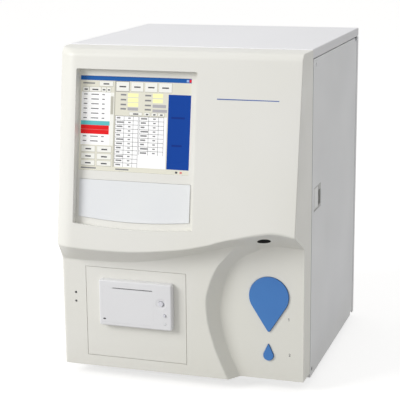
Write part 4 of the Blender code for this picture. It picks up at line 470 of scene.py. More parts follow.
def open_mesh(piece, kind="FACE", wanted=None):
    """Goes into edit mode with the wanted faces, edges or points selected, or all of them."""
    take(piece)
    bpy.ops.object.mode_set(mode="EDIT")
    bpy.ops.mesh.select_mode(type=kind)
    bpy.ops.mesh.select_all(action="DESELECT" if wanted else "SELECT")
    if wanted:
        shape = bmesh.from_edit_mesh(piece.data)
        shape.normal_update()
        for item in {"FACE": shape.faces, "EDGE": shape.edges, "VERT": shape.verts}[kind]:
            if wanted(item):
                item.select_set(True)
        bmesh.update_edit_mesh(piece.data)


def tidy_mesh(piece, merge=MERGE, triangles=False):
    """Merges doubled points and turns all faces outwards."""
    open_mesh(piece)
    bpy.ops.mesh.remove_doubles(threshold=merge)
    bpy.ops.mesh.select_all(action="SELECT")
    if triangles:
        bpy.ops.mesh.quads_convert_to_tris()
    bpy.ops.mesh.normals_make_consistent(inside=False)
    object_mode()
    return piece


def merge_flats(piece):
    """Makes one face of neighbours that lie in one plane."""
    open_mesh(piece)
    bpy.ops.mesh.dissolve_limited(angle_limit=math.radians(FLAT_ANGLE))
    object_mode()
    return piece


def apply_step(piece, kind, **settings):
    """Adds one modifier with its settings and applies it."""
    step = piece.modifiers.new(kind.lower(), kind)
    for name, value in settings.items():
        setattr(step, name, value)
    take(piece)
    bpy.ops.object.modifier_apply(modifier=step.name)
    return piece


def combine(piece, others, operation="DIFFERENCE", solver="EXACT"):
    """Cuts the others from the piece, or joins them to it."""
    for other in others:
        apply_step(piece, "BOOLEAN", operation=operation, solver=solver, object=other)
        bpy.data.objects.remove(other)
    return piece


def cut(piece, *others, solver="EXACT"):
    return combine(piece, others, solver=solver)


def join(piece, *others):
    return combine(piece, others, operation="UNION")


def round_edges(piece, width, segments=2, angle=EDGE_ANGLE):
    return apply_step(piece, "BEVEL", width=width, segments=segments, limit_method="ANGLE",
                      angle_limit=math.radians(angle), use_clamp_overlap=True)


def smooth(piece):
    """Smooth shading over gentle bends, with large flat faces kept flat."""
    take(piece)
    bpy.ops.object.shade_smooth_by_angle(angle=math.radians(SMOOTH_ANGLE))
    return apply_step(piece, "WEIGHTED_NORMAL", mode="FACE_AREA_WITH_ANGLE", weight=60, keep_sharp=True)


def hand_over(piece, finish, node, replaces=True, placed=False):
    """Moves a piece from the case's own zero to its place and hangs it, finished, where a node hangs."""
    solid = frame["nodes"][node]
    if not placed:
        settle(piece, location=CASE_ORIGIN)
    smooth(piece)
    piece.data.materials.clear()
    piece.data.materials.append(FINISHES[finish])
    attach(piece, solid.parent.name.removeprefix("body:"))
    if replaces:
        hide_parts(node)
    return piece


def add_on(piece, finish, node):
    """Hangs a piece beside the ones that stand in for a node's solid."""
    return hand_over(piece, finish, node, replaces=False)


def refined(node, name, width, segments=2):
    """A new piece with a construction solid's shape and softened edges, in its place."""
    piece = named(bpy.data.objects.new(name, frame["nodes"][node].data.copy()), name)
    bpy.context.scene.collection.objects.link(piece)
    return round_edges(merge_flats(tidy_mesh(piece, SOLID_MERGE)), width, segments, SOLID_EDGE_ANGLE)


def refine(finish, width, *nodes):
    """Stands in for construction solids with pieces of their shape, softened and finished."""
    for node in nodes:
        hand_over(refined(node, f"{node}_finished", width), finish, node, placed=True)


def dress(finish, *nodes):
    """Gives a construction solid that stays a finish of its own."""
    for node in nodes:
        frame["nodes"][node].material_slots[0].material = FINISHES[finish]


def gather(name, *pieces):
    """Makes one object of several closed pieces."""
    take(*pieces)
    bpy.ops.object.join()
    return named(pieces[0], name)


# Basic shapes

def block(name, low, high):
    take()
    low, high = Vector(low), Vector(high)
    bpy.ops.mesh.primitive_cube_add(size=1, location=(low + high) / 2, scale=high - low)
    return added(name)


def drum(name, start, axis, reach, radius, sides=48):
    """A cylinder from a point along an axis."""
    take()
    axis = Vector(axis).normalized()
    turn = Vector(UPWARD).rotation_difference(axis).to_euler()
    bpy.ops.mesh.primitive_cone_add(vertices=sides, radius1=radius, radius2=radius, depth=reach,
                                    location=Vector(start) + axis * reach / 2, rotation=turn)
    return added(name)


def cross_bar(name, left, right, y, z, radius, sides=24):
    """A round bar from left to right."""
    return drum(name, (left, y, z), RIGHTWARD, right - left, radius, sides)


def drawn(name, points, fill="NGON"):
    """A closed line, or the flat face in it, through these points."""
    take()
    bpy.ops.mesh.primitive_circle_add(vertices=len(points), radius=1, fill_type=fill)
    piece = added(name)
    for vertex, point in zip(piece.data.vertices, points):
        vertex.co = point
    return piece


def turned(name, base, profile, axis=UPWARD, sides=64):
    """A line of (radius, height) points spun round an axis through base; a ring's ends where it starts."""
    ring = profile[0] == profile[-1]
    points = [(radius, 0, height) for radius, height in (profile[:-1] if ring else profile)]
    piece = drawn(name, points, "NOTHING")
    if not ring:
        ends = {0, len(points) - 1}
        open_mesh(piece, "EDGE", lambda edge: {vertex.index for vertex in edge.verts} == ends)
        bpy.ops.mesh.delete(type="EDGE")
    open_mesh(piece, "VERT")
    bpy.ops.mesh.spin(steps=sides, angle=2 * math.pi, center=(0, 0, 0), axis=UPWARD, use_auto_merge=True)
    turn = Vector(UPWARD).rotation_difference(Vector(axis)).to_euler()
    return settle(tidy_mesh(piece), rotation_euler=turn, location=base)


def both_ends(profile):
    """A line of (radius, height) points, and the same line mirrored below it."""
    return profile + [(radius, -height) for radius, height in reversed(profile)]


def key_of(point):
    return tuple(round(value, 7) for value in point)


def loft(name, rings):
    """A closed solid drawn out ring by ring, from one filled circle."""
    rings = [[Vector(point) for point in ring] for ring in rings]
    piece = drawn(name, rings[0])
    open_mesh(piece)
    for near, far in zip(rings, rings[1:]):
        bpy.ops.mesh.extrude_region_move()
        shape = bmesh.from_edit_mesh(piece.data)
        moves = {key_of(point): goal for point, goal in zip(near, far)}
        for vertex in shape.verts:
            if vertex.select:
                vertex.co = moves[key_of(vertex.co)]
        bmesh.update_edit_mesh(piece.data)
    return tidy_mesh(piece, triangles=True)


def outline_plate(name, outline, front, back, rounding=0.0, segments=3):
    """A flat plate in the XZ plane from its outline, with a softened front edge."""
    piece = drawn(name, [(x, back, z) for x, z in outline])
    open_mesh(piece)
    bpy.ops.mesh.extrude_region_move(TRANSFORM_OT_translate={"value": (0, front - back, 0)})
    tidy_mesh(piece)
    if rounding:
        middle = (front + back) / 2
        open_mesh(piece, "FACE", lambda face: all((v.co.y - middle) * (front - back) > 0 for v in face.verts))
        bpy.ops.mesh.bevel(offset=rounding, segments=segments, affect="EDGES", clamp_overlap=True)
        object_mode()
    return piece


def bend(before, corner, after, reach, steps):
    """Points of a soft corner that starts and ends reach away from it."""
    before, corner, after = Vector(before), Vector(corner), Vector(after)
    start = corner + (before - corner).normalized() * reach
    end = corner + (after - corner).normalized() * reach
    shares = [step / steps for step in range(steps + 1)]
    return [start.lerp(corner, share).lerp(corner.lerp(end, share), share) for share in shares]


def softened(outline, reach, steps=4, sharp=35):
    """A closed outline with its sharp corners rounded."""
    made = []
    for i, corner in enumerate(outline):
        before, after = outline[i - 1], outline[(i + 1) % len(outline)]
        turn = (Vector(corner) - Vector(before)).angle(Vector(after) - Vector(corner))
        made += bend(before, corner, after, reach, steps) if turn > math.radians(sharp) else [Vector(corner)]
    return made


def grown(outline, grow):
    """A closed outline, counter-clockwise, pushed outwards."""
    made = []
    for i, point in enumerate(outline):
        along = Vector(outline[(i + 1) % len(outline)]) - Vector(outline[i - 1])
        made.append(Vector(point) + Vector((along.y, -along.x)).normalized() * grow)
    return made


def bowed_outline(box, bow, points=14):
    """A rectangle whose lower edge bows down in the middle."""
    left, right, foot, top = box
    outline = [(left, top), (left, foot)]
    for step in range(1, points):
        share = step / points
        outline.append((left + (right - left) * share, foot - bow * math.sin(math.pi * share)))
    return outline + [(right, foot), (right, top)]


def rectangle(box):
    left, right, foot, top = box
    return [(left, top), (left, foot), (right, foot), (right, top)]


def widened(box, margin):
    """A box with a margin added on its four sides, or taken off them where it is negative."""
    left, right, foot, top = box
    return (left - margin, right + margin, foot - margin, top + margin)


def box_block(name, box, front, back):
    """A block as large as a box of the front, from its front to its back."""
    left, right, foot, top = box
    return block(name, (left, front, foot), (right, back, top))


def up_fascia(z):
    """Distance along the slanted front for a point at height z."""
    return z / math.cos(FASCIA_TILT)


def drawn_on_fascia(outline):
    return [(x, up_fascia(z)) for x, z in outline]


def lay_on_fascia(piece):
    """Tilts what was drawn in front of and behind y = 0 so that y = 0 lies on the slanted front."""
    return settle(piece, rotation_euler=(-FASCIA_TILT, 0, 0), location=(0, fascia_y(0), 0))


# The bezel's surfaces

def hermite(a, b, slope_a, slope_b, t):
    return (
        a * (2 * t**3 - 3 * t**2 + 1) + slope_a * (t**3 - 2 * t**2 + t) + b * (3 * t**2 - 2 * t**3)
        + slope_b * (t**3 - t**2)
    )


def smooth_route(points, steps):
    """Points on a smooth curve through the given ones."""
    points = [Vector(point) for point in points]
    slopes = []
    for i in range(len(points)):
        before, after = points[max(i - 1, 0)], points[min(i + 1, len(points) - 1)]
        slopes.append((after - before) / 2)
    route = []
    for i in range(len(points) - 1):
        for step in range(steps):
            route.append(hermite(points[i], points[i + 1], slopes[i], slopes[i + 1], step / steps))
    return route + [points[-1]]


def height_at(shares, x):
    """The height of a front line at x, smooth between its points."""
    places = [(share * HALF, height * CASE_HEIGHT) for share, height in shares]
    if x >= places[-1][0]:
        return places[-1][1]
    i = max(n for n in range(len(places) - 1) if places[n][0] <= max(x, places[0][0]))

    def slope(n):
        low, high = places[max(n - 1, 0)], places[min(n + 1, len(places) - 1)]
        return (high[1] - low[1]) / (high[0] - low[0])

    width = places[i + 1][0] - places[i][0]
    t = (x - places[i][0]) / width
    return hermite(places[i][1], places[i + 1][1], slope(i) * width, slope(i + 1) * width, t)


def fascia_y(z):
    return -TOP_REACH - (CASE_HEIGHT - TOP_DROP - z) * math.tan(FASCIA_TILT)


def lip_y(x):
    swing = (HALF - x) / CASE_WIDTH
    return -(LIP_REACH - LIP_SWEEP) - LIP_SWEEP * swing**2


def set_back(inward, radius):
    """How far a rounded corner falls back, inward from the end that it starts at."""
    if inward >= radius:
        return 0.0
    return radius - math.sqrt(max(radius**2 - (radius - inward) ** 2, 0.0))


def band_height(x):
    if x <= BAND_SHARES[-1][0] * HALF:
        return height_at(BAND_SHARES, x)
    return RIGHT_BAND_HEIGHT


def bezel_section(x, inset, lift):
    """One upright section of the bezel in (y, z), from its back foot forwards and up."""
    sizes = bpy.context.scene.analyzer_bezel
    inward = x + HALF - inset
    back = OVERRUN if inset else -GAP
    wide = set_back(inward, LEFT_RADIUS - inset)
    narrow = set_back(inward, max(LOWER_RADIUS - inset, inset))
    edge = set_back(HALF - inset - x, sizes.side_round)
    bottom = BEZEL_BOTTOM + inset
    top = CASE_HEIGHT - TOP_DROP - inset - edge
    radius = TOP_RADIUS - inset
    lip = height_at(LIP_SHARES, x) + lift
    band = band_height(x) + lift
    low_y = -LOWER_REACH + inset + narrow + edge
    lip_front = lip_y(x) + inset + wide + edge
    centre_z = top - radius
    steep = math.cos(FASCIA_TILT)
    centre_y = fascia_y(centre_z) + inset / steep + wide + edge + radius / steep
    arc, arc_steps = [], 8
    last = math.pi - FASCIA_TILT
    for step in range(arc_steps + 1):
        angle = last + (math.pi / 2 - last) * step / arc_steps
        arc.append((centre_y + radius * math.cos(angle), centre_z + radius * math.sin(angle)))
    heel, foot, hollow, tip = (back, bottom), (low_y, bottom), (low_y, band), (lip_front, lip)
    section = [heel] + bend(heel, foot, hollow, sizes.foot_round, 2) + bend(foot, hollow, tip, sizes.cove, 3)
    return section + bend(hollow, tip, arc[0], sizes.lip_round, 4) + arc + [(back, top)]


def drafted(x, y):
    return x * (1 - SIDE_DRAFT / HALF * min(-y, LIP_REACH) / LIP_REACH)


def bezel_block(name, inset, lift):
    """The moulding's outer form, or with an inset the form of the space in it."""
    sizes = bpy.context.scene.analyzer_bezel
    left, right = -HALF + inset, HALF - inset
    corner_steps, edge_steps = 12, 3
    columns = []
    for step in range(corner_steps + 1):
        columns.append(left + (LEFT_RADIUS - inset) * (1 - math.cos(math.pi / 2 * step / corner_steps)))
    start, stop = columns[-1], right - sizes.side_round
    for step in range(1, sizes.columns + 1):
        columns.append(start + (stop - start) * step / sizes.columns)
    for step in range(1, edge_steps + 1):
        columns.append(stop + sizes.side_round * math.sin(math.pi / 2 * step / edge_steps))
    return loft(name, [[(drafted(x, y), y, z) for y, z in bezel_section(x, inset, lift)] for x in columns])


def recess_outline(shares, grow, steps):
    """The D-shaped edge of the recess, closed far to the right and below."""
    fine = smooth_route([(x * HALF, z * CASE_HEIGHT) for x, z in shares], steps)
    pushed = []
    for i, point in enumerate(fine):
        along = fine[min(i + 1, len(fine) - 1)] - fine[max(i - 1, 0)]
        pushed.append(point + Vector((-along.y, along.x)).normalized() * grow)
    return pushed + [Vector((pushed[-1].x, RECESS_FOOT * CASE_HEIGHT - grow))]


def smooth_step(value):
    share = min(max(value, 0.0), 1.0)
    return share * share * (3 - 2 * share)


def recess_block(name, grow, panel_y, edge, cove):
    """The sampling recess: a flat back, a slanted wall, a softened edge, then the way out to the front."""
    inner, outer = (recess_outline(line, grow, 4) for line in (RECESS_INNER_SHARES, RECESS_OUTER_SHARES))
    reach = LIP_REACH + OVERRUN
    share = (reach - LOWER_REACH) / (LIP_REACH - LIP_SWEEP - LOWER_REACH)
    side_end = RECESS_SIDE_END * HALF
    centre = Vector((HALF * RECESS_MIDDLE[0], panel_y, CASE_HEIGHT * RECESS_MIDDLE[1]))
    outward = grown(list(reversed(outer)), 1.0)[::-1]
    columns = []
    for i, (low, high) in enumerate(zip(inner, outer)):
        turn = (high.x - side_end + 2 * grow) / RECESS_TURN + RECESS_TURN_START
        over = smooth_step(turn) if high.y > 0 else 0.0
        rise = 0.0
        if over:
            rise = (height_at(LIP_SHARES, min(high.x, HALF)) - BAND_RISE + grow - high.y) * share * over
        wall_foot, wall_top = Vector((low.x, panel_y, low.y)), Vector((high.x, -LOWER_REACH, high.y))
        ahead = Vector((high.x, -reach, high.y + rise))
        away = outward[i] - high
        side = wall_top + Vector((away.x, 0, away.y)) * AIM
        fade = 1 - smooth_step((high.y / CASE_HEIGHT - RECESS_FADE_HEIGHT) / RECESS_FADE_REACH) * (1 - over)
        column = bend(centre, wall_foot, wall_top, cove, 3) if cove else [wall_foot]
        if edge:
            target = side.lerp(wall_top + (ahead - wall_top).normalized() * AIM, over)
            soft = bend(wall_foot, wall_top, target, max(edge * fade, LEAST_ROUND), 4)
            column += soft + [Vector((soft[-1].x, -reach, soft[-1].z)).lerp(ahead, over)]
        else:
            column += [wall_top, ahead]
        columns.append(column)
    return loft(name, list(zip(*columns)))


def fascia_opening(name, outline, face, deep, edge):
    """A way into the slanted front with a softened rim, its face so far behind the front."""
    steps = 3
    rings = [(face + deep, 0.0)]
    for step in range(steps + 1):
        angle = math.pi / 2 * step / steps
        rings.append((face + edge * (1 - math.sin(angle)), edge * (1 - math.cos(angle))))
    rings.append((face - OVERRUN, edge + GAP))
    return lay_on_fascia(loft(name, [[(point.x, depth, point.y) for point in grown(outline, grow)]
                                     for depth, grow in rings]))


def fascia_plate(name, outline, depth, thickness, rounding=0.0):
    """A plate parallel to the slanted front, its front depth behind it."""
    return lay_on_fascia(outline_plate(name, drawn_on_fascia(outline), depth, depth + thickness, rounding))


def drop_outline(x, z, radius, point_z, tip, grow=0.0, head_steps=56, tip_steps=6):
    """A round head drawn out to a rounded point above or below it, counter-clockwise."""
    head, tip_radius = radius + grow, tip + grow
    away = abs(point_z - z) - tip
    lean = math.acos((head - tip_radius) / away)
    side = math.copysign(1, point_z - z)
    outline = []
    for step in range(head_steps + 1):
        angle = lean + (2 * math.pi - 2 * lean) * step / head_steps
        outline.append((x + head * math.sin(angle), z + side * head * math.cos(angle)))
    for step in range(tip_steps + 1):
        angle = -lean + 2 * lean * step / tip_steps
        outline.append((x + tip_radius * math.sin(angle), z + side * (away + tip_radius * math.cos(angle))))
    return outline if side < 0 else outline[::-1]


def printer_way(front, back):
    return box_block("printer_way", widened(widened(PRINTER, -PRINTER_INSET), GAP), front, back)


def make_bezel(sizes):
    """The hollow moulding with all its openings, and the sleeve in the probe's hole."""
    bezel = bezel_block("bezel_moulding", 0.0, 0.0)
    hollow = bezel_block("bezel_hollow", WALL, BAND_RISE)
    cut(hollow, recess_block("recess_backing", WALL + BAND_RISE, -PANEL_REACH + PANEL_WALL, 0.0, 0.0))
    rim = bowed_outline(widened(SCREEN, SCREEN_RIM), SCREEN_BOW)
    cut(hollow, fascia_plate("screen_rim", rim, -OVERRUN, SCREEN_DEPTH + OVERRUN))
    cut(bezel, recess_block("recess", 0.0, -PANEL_REACH, sizes.recess_edge, sizes.recess_cove))
    grommet = probe_grommet(bezel)
    cut(bezel, hollow, solver="MANIFOLD")
    opening = softened(drawn_on_fascia(bowed_outline(SCREEN, SCREEN_BOW)), sizes.screen_corner)
    cut(bezel, fascia_opening("screen_opening", opening, 0.0, SCREEN_DEPTH + OVERRUN, sizes.screen_edge))
    face = -LOWER_REACH
    pocket = box_block("panel_pocket", widened(PANEL, GAP), face - OVERRUN, face + PANEL_THICKNESS + GAP)
    cut(bezel, pocket, printer_way(face - OVERRUN, face + 2 * OVERRUN))
    for z in STATUS_HEIGHTS:
        start = (STATUS_X, face - OVERRUN, z)
        cut(bezel, drum("lamp_hole", start, BACKWARD, 3 * OVERRUN, STATUS_RADIUS + GAP, sides=24))
    cut(bezel, drum("probe_hole", PROBE_PLACE, DOWNWARD, 3 * PROBE_HOLE, PROBE_HOLE, sides=56))
    wall = -PANEL_REACH
    for x, z, *shape in (START, DILUTE):
        outline = drop_outline(x, z, *shape, DROP_GAP)
        stem = drum("stem_hole", (x, wall, z), BACKWARD, 2 * PANEL_WALL, DROP_STEM + DROP_GAP, sides=32)
        cut(bezel, outline_plate("drop_pocket", outline, wall - OVERRUN, wall + DROP_POCKET), stem)
    return bezel, grommet


def probe_grommet(solid):
    """A sleeve in the probe's hole, flush with the overhang, finished near-black to paint the shade inside
    the hole.
    """
    low, high = -3 * PROBE_HOLE, UNIT_FOOT - GAP - PROBE_PLACE[2]
    outer, inner = PROBE_HOLE - GAP / 6, WASH_RADIUS + GAP
    profile = [(inner, high), (outer, high), (outer, low), (inner, low), (inner, high)]
    grommet = turned("probe_grommet", PROBE_PLACE, profile, sides=56)
    return apply_step(grommet, "BOOLEAN", operation="INTERSECT", solver="EXACT", object=solid)


# Screen, printer and plates

def button_marks(left, right, top, foot, dash=0.4):
    """A raised button with a plain bar where its word would be."""
    rim_x, rim_y, bar_up, bar_down = 0.004, 0.006, 0.006, 0.008
    middle, half = (left + right) / 2, (right - left) * dash / 2
    level = (top + foot) / 2
    return [
        (left, right, top, foot, "edge"),
        (left + rim_x / 2, right - rim_x, top + rim_y / 2, foot - rim_y, "button"),
        (middle - half, middle + half, level - bar_up, level + bar_down, "ink"),
    ]


def table_marks(left, right, rows, top, pitch, steps):
    """A table of plain cells, a grey bar and a small mark in each row."""
    wide = right - left
    marks = [(left, right, top, top + rows * pitch, "white")]
    for row in range(rows):
        level = top + row * pitch
        bar = 0.16 + 0.05 * ((row * 3 + steps) % 4)
        marks += [
            (left, right, level, level + 0.004, "line"),
            (left + wide * 0.06, left + wide * (0.06 + bar), level + 0.014, level + 0.030, "soft"),
            (left + wide * 0.56, left + wide * 0.67, level + 0.015, level + 0.028, "soft"),
        ]
    for share in (0.0, 0.38, 0.78, 1.0):
        x = left + wide * share
        marks.append((x - 0.0015, x + 0.0015, top, top + rows * pitch, "line"))
    return marks


def screen_marks():
    """The display's picture as plain panels and bars, in shares of its width and, downwards, its height."""
    marks = [
        (0, 1, 0, 1, "beige"), (0, 1, 0, 0.045, "title"), (0.955, 0.975, 0.01, 0.036, "sky"),
        (0.98, 0.998, 0.008, 0.038, "red"), (0.02, 0.13, 0.070, 0.084, "soft"),
        (0.01, 0.275, 0.17, 0.73, "white"), (0.275, 0.31, 0.17, 0.73, "button"),
        (0.28, 0.305, 0.21, 0.40, "edge"),
    ]
    marks += button_marks(0.17, 0.30, 0.05, 0.11)
    for left, right in ((0.02, 0.08), (0.08, 0.19), (0.19, 0.24), (0.24, 0.28)):
        marks += button_marks(left, right, 0.115, 0.17, 0.5)
    for level in (0.195, 0.245, 0.295, 0.345, 0.395, 0.445, 0.64, 0.69):
        marks.append((0.01, 0.275, level + 0.024, level + 0.027, "rule"))
        marks += [(left, right, level - 0.006, level + 0.006, "soft")
                  for left, right in ((0.03, 0.065), (0.10, 0.17), (0.20, 0.225))]
    marks += [(0.01, 0.275, 0.475, 0.52, "teal"), (0.01, 0.27, 0.52, 0.615, "red"),
              (0.01, 0.27, 0.565, 0.569, "rose")]
    for top, foot in ((0.74, 0.81), (0.82, 0.885), (0.895, 0.955)):
        marks += button_marks(0.02, 0.15, top, foot) + button_marks(0.165, 0.30, top, foot)
    marks += [(0.312, 0.322, 0.045, 0.955, "edge"), (0.323, 0.447, 0.046, 0.158, "frame")]
    for left, right in ((0.325, 0.445), (0.46, 0.575), (0.585, 0.70), (0.71, 0.83)):
        marks += button_marks(left, right, 0.05, 0.155, 0.5)
    marks += [(0.435, 0.53, top, foot, "cream") for top, foot in ((0.17, 0.21), (0.22, 0.262), (0.27, 0.31))]
    marks += [(0.66, 0.75, top, foot, "cream") for top, foot in ((0.165, 0.21), (0.222, 0.262))]
    marks += [(0.435, 0.53, 0.32, 0.35, "grey"), (0.66, 0.78, 0.28, 0.312, "grey"),
              (0.66, 0.79, 0.33, 0.36, "grey")]
    for top in (0.18, 0.232, 0.283, 0.328):
        marks += [(0.37, 0.42, top, top + 0.016, "soft"), (0.59, 0.645, top, top + 0.016, "soft")]
    for left, right in ((0.45, 0.57), (0.585, 0.64), (0.65, 0.705), (0.71, 0.77)):
        marks += button_marks(left, right, 0.365, 0.405, 0.4)
    marks += [(0.325, 0.79, 0.41, 0.95, "white")]
    marks += table_marks(0.327, 0.535, 12, 0.41, 0.045, 0) + table_marks(0.545, 0.765, 9, 0.41, 0.045, 2)
    marks += [(0.80, 1, 0.17, 0.95, "blue"), (0.83, 0.95, 0.40, 0.42, "deep"),
              (0.84, 0.93, 0.69, 0.71, "deep"), (0.0, 1, 0.955, 1, "beige"),
              (0.02, 0.16, 0.97, 0.985, "soft"), (0.34, 0.46, 0.97, 0.985, "soft"),
              (0.88, 0.90, 0.968, 0.988, "ink"), (0.92, 0.94, 0.968, 0.988, "rose")]
    return marks


SCREEN_TONES = {
    "beige": (222, 220, 206), "title": (38, 94, 166), "sky": (150, 180, 222), "red": (226, 34, 38),
    "white": (250, 250, 250), "button": (238, 238, 232), "edge": (186, 184, 172), "ink": (78, 78, 84),
    "soft": (134, 134, 136), "line": (92, 92, 96), "rule": (232, 230, 226), "teal": (96, 188, 192),
    "rose": (214, 120, 116), "frame": (110, 104, 116), "cream": (250, 249, 186), "grey": (176, 174, 178),
    "blue": (18, 66, 152), "deep": (18, 50, 128),
}


def make_picture():
    """The lit part of the display, one face for each cell of its picture."""
    marks = screen_marks()
    across = sorted({round(value, 5) for mark in marks for value in mark[:2]})
    down = sorted({round(value, 5) for mark in marks for value in mark[2:4]})
    take()
    bpy.ops.mesh.primitive_grid_add(x_subdivisions=len(across) - 1, y_subdivisions=len(down) - 1, size=2)
    piece = added("display_picture")
    left, right, foot, top = widened(LCD, -GAP / 2)
    high = up_fascia(top - foot)
    columns = {round(-1 + 2 * i / (len(across) - 1), 4): share for i, share in enumerate(across)}
    rows = {round(1 - 2 * i / (len(down) - 1), 4): share for i, share in enumerate(down)}
    front = SCREEN_DEPTH + SCREEN_PLATE / 2
    back = SCREEN_DEPTH + SCREEN_PLATE + GAP
    places = []
    for vertex in piece.data.vertices:
        u, v = columns[round(vertex.co.x, 4)], rows[round(vertex.co.y, 4)]
        places.append((u, v))
        vertex.co = (left + (right - left) * u, back, up_fascia(top) - high * v)
    tones = piece.data.color_attributes.new("picture", "FLOAT_COLOR", "CORNER")
    for face in piece.data.polygons:
        u = sum(places[i][0] for i in face.vertices) / 4
        v = sum(places[i][1] for i in face.vertices) / 4
        tone = next(mark[4] for mark in reversed(marks) if mark[0] < u < mark[1] and mark[2] < v < mark[3])
        for corner in face.loop_indices:
            tones.data[corner].color = (*srgb(*SCREEN_TONES[tone]), 1)
    open_mesh(piece)
    bpy.ops.mesh.extrude_region_move(TRANSFORM_OT_translate={"value": (0, front - back, 0)})
    bpy.ops.mesh.select_all(action="SELECT")
    bpy.ops.mesh.normals_make_consistent(inside=False)
    object_mode()
    return lay_on_fascia(piece)


def make_screen(sizes):
    """The frame round the display, with the seat of the plate below it, and that plate."""
    depth, seam = SCREEN_DEPTH + GAP, sizes.seam
    backing = fascia_plate("screen_backing", rectangle(widened(SCREEN, SCREEN_MARGIN)), depth, SCREEN_PLATE)
    window = drawn_on_fascia(rectangle(LCD))
    outline = bowed_outline(TRIM, SCREEN_BOW)
    around = grown(drawn_on_fascia(outline), seam)
    seat = outline_plate("trim_seat", around, depth - OVERRUN, depth + 2 * seam)
    cut(backing, fascia_opening("screen_window", window, depth, 2 * OVERRUN, sizes.window_edge),
        lay_on_fascia(seat))
    front = SCREEN_DEPTH - 3 * GAP
    return backing, fascia_plate("trim_plate", outline, front, depth + seam - front, sizes.panel_edge)


def knob(name, place, radius, back, front, edge, dish=0.0, sides=48):
    """A round key or lens from back to front, its rim softened and its face dished."""
    reach = back - front
    rim = bend((radius, 0), (radius, reach), (0, reach - dish), edge, 5)
    profile = [(0, 0), (radius, 0)] + [tuple(point) for point in rim] + [(0, reach - dish)]
    return turned(name, (place[0], back, place[1]), profile, FORWARD, sides)


def key_dish(sizes, steps=8):
    """A shallow dish in the printer's face, round the release button."""
    profile = [(0, sizes.dish_depth)]
    for step in range(1, steps + 1):
        share = step / steps
        profile.append((sizes.dish_radius * share, sizes.dish_depth * (1 - share**2)))
    profile += [(sizes.dish_radius, -OVERRUN), (0, -OVERRUN)]
    return turned("key_dish", (RELEASE[0], PRINTER_FACE, RELEASE[1]), profile, BACKWARD, 72)


def make_panel(sizes):
    """The plate that the printer sits in."""
    face = -LOWER_REACH
    outline = softened(rectangle(widened(PANEL, -GAP)), SOFT_ROUND)
    plate = outline_plate("printer_plate", outline, face, face + PANEL_THICKNESS, sizes.panel_edge)
    return cut(plate, printer_way(face - OVERRUN, face + OVERRUN))


def make_housing(sizes):
    """The printer's shell and body, open for the roll, the cover and the keys."""
    outline = softened(rectangle(PRINTER), sizes.printer_corner, 6)
    housing = outline_plate("printer_shell", outline, PRINTER_FACE, -LOWER_REACH - GAP, sizes.printer_edge, 5)
    body = widened(PRINTER, -PRINTER_INSET)
    join(housing, box_block("printer_body", body, PRINTER_FACE + PRINTER_PROUD / 2, PRINTER_BACK))
    well = box_block("paper_well", (COVER_LEFT, COVER_RIGHT, COVER_FOOT, body[3] - PRINTER_WALL),
                     PRINTER_FACE + PRINTER_WALL, PRINTER_BACK - PRINTER_WALL)
    mouth = box_block("cover_mouth", (COVER_LEFT, COVER_RIGHT, COVER_FOOT, SLOT_HEIGHT + GAP),
                      PRINTER_FACE - OVERRUN, PRINTER_FACE + OVERRUN)
    swing = math.hypot(COVER_PIVOT, COVER_AXIS_Z - COVER_FOOT) + GAP / 6
    groove = cross_bar("cover_groove", COVER_LEFT, COVER_RIGHT, COVER_AXIS_Y, COVER_AXIS_Z, swing, sides=64)
    cut(housing, well, mouth, groove, key_dish(sizes))
    reach = OVERRUN + BUTTON_LENGTH + KEY_SPARE
    for x, z, radius in (RELEASE, FEED, LAMP):
        start = (x, PRINTER_FACE - OVERRUN, z)
        cut(housing, drum("key_hole", start, BACKWARD, reach, radius + BUTTON_GAP / 2, sides=40))
    left, right, axis = COVER_LEFT - PRINTER_WALL, COVER_RIGHT + PRINTER_WALL, (COVER_AXIS_Y, COVER_AXIS_Z)
    return cut(housing, cross_bar("pin_hole", left, right, *axis, COVER_PIN + BUTTON_GAP))


def make_cover(sizes):
    """The printer's cover with its slot and barrel, and the ears that hold the platen."""
    hair, wall = sizes.cover_gap, PRINTER_WALL
    box = (COVER_LEFT + hair, COVER_RIGHT - hair, COVER_FOOT + hair, SLOT_HEIGHT + GAP - hair)
    cover = box_block("paper_cover", box, PRINTER_FACE, PRINTER_FACE + COVER_PLATE)
    slot_right, slot_foot = COVER_RIGHT - SLOT_MARGIN, SLOT_HEIGHT + GAP - sizes.slot_width
    slot = (slot_right - sizes.slot_length, slot_right, slot_foot, SLOT_HEIGHT + OVERRUN)
    cut(cover, box_block("paper_slot", slot, PRINTER_FACE - OVERRUN, PRINTER_FACE + OVERRUN))
    near, far = COVER_LEFT + BUTTON_GAP, COVER_RIGHT - BUTTON_GAP
    pin_left, pin_right = COVER_LEFT - wall + 2 * BUTTON_GAP, COVER_RIGHT + wall - 2 * BUTTON_GAP
    axis = (COVER_AXIS_Y, COVER_AXIS_Z)
    join(cover, cross_bar("cover_barrel", near, far, *axis, COVER_PIVOT - GAP / 4, sides=32))
    join(cover, cross_bar("cover_pins", pin_left, pin_right, *axis, COVER_PIN))
    for x in (near, far - wall):
        ear = (x, x + wall, PLATEN_Z - PLATEN_RADIUS, PLATEN_Z + PLATEN_SHAFT * 2)
        join(cover, box_block("platen_ear", ear, PRINTER_FACE + COVER_PLATE / 2, PLATEN_Y + PLATEN_SHAFT * 2))
    axis = (PLATEN_Y, PLATEN_Z)
    axle = cross_bar("platen_bore", near - OVERRUN, far + OVERRUN, *axis, PLATEN_SHAFT + GAP)
    room = cross_bar("platen_room", near + wall, far - wall, *axis, PLATEN_RADIUS + GAP, sides=32)
    return cut(cover, axle, room)


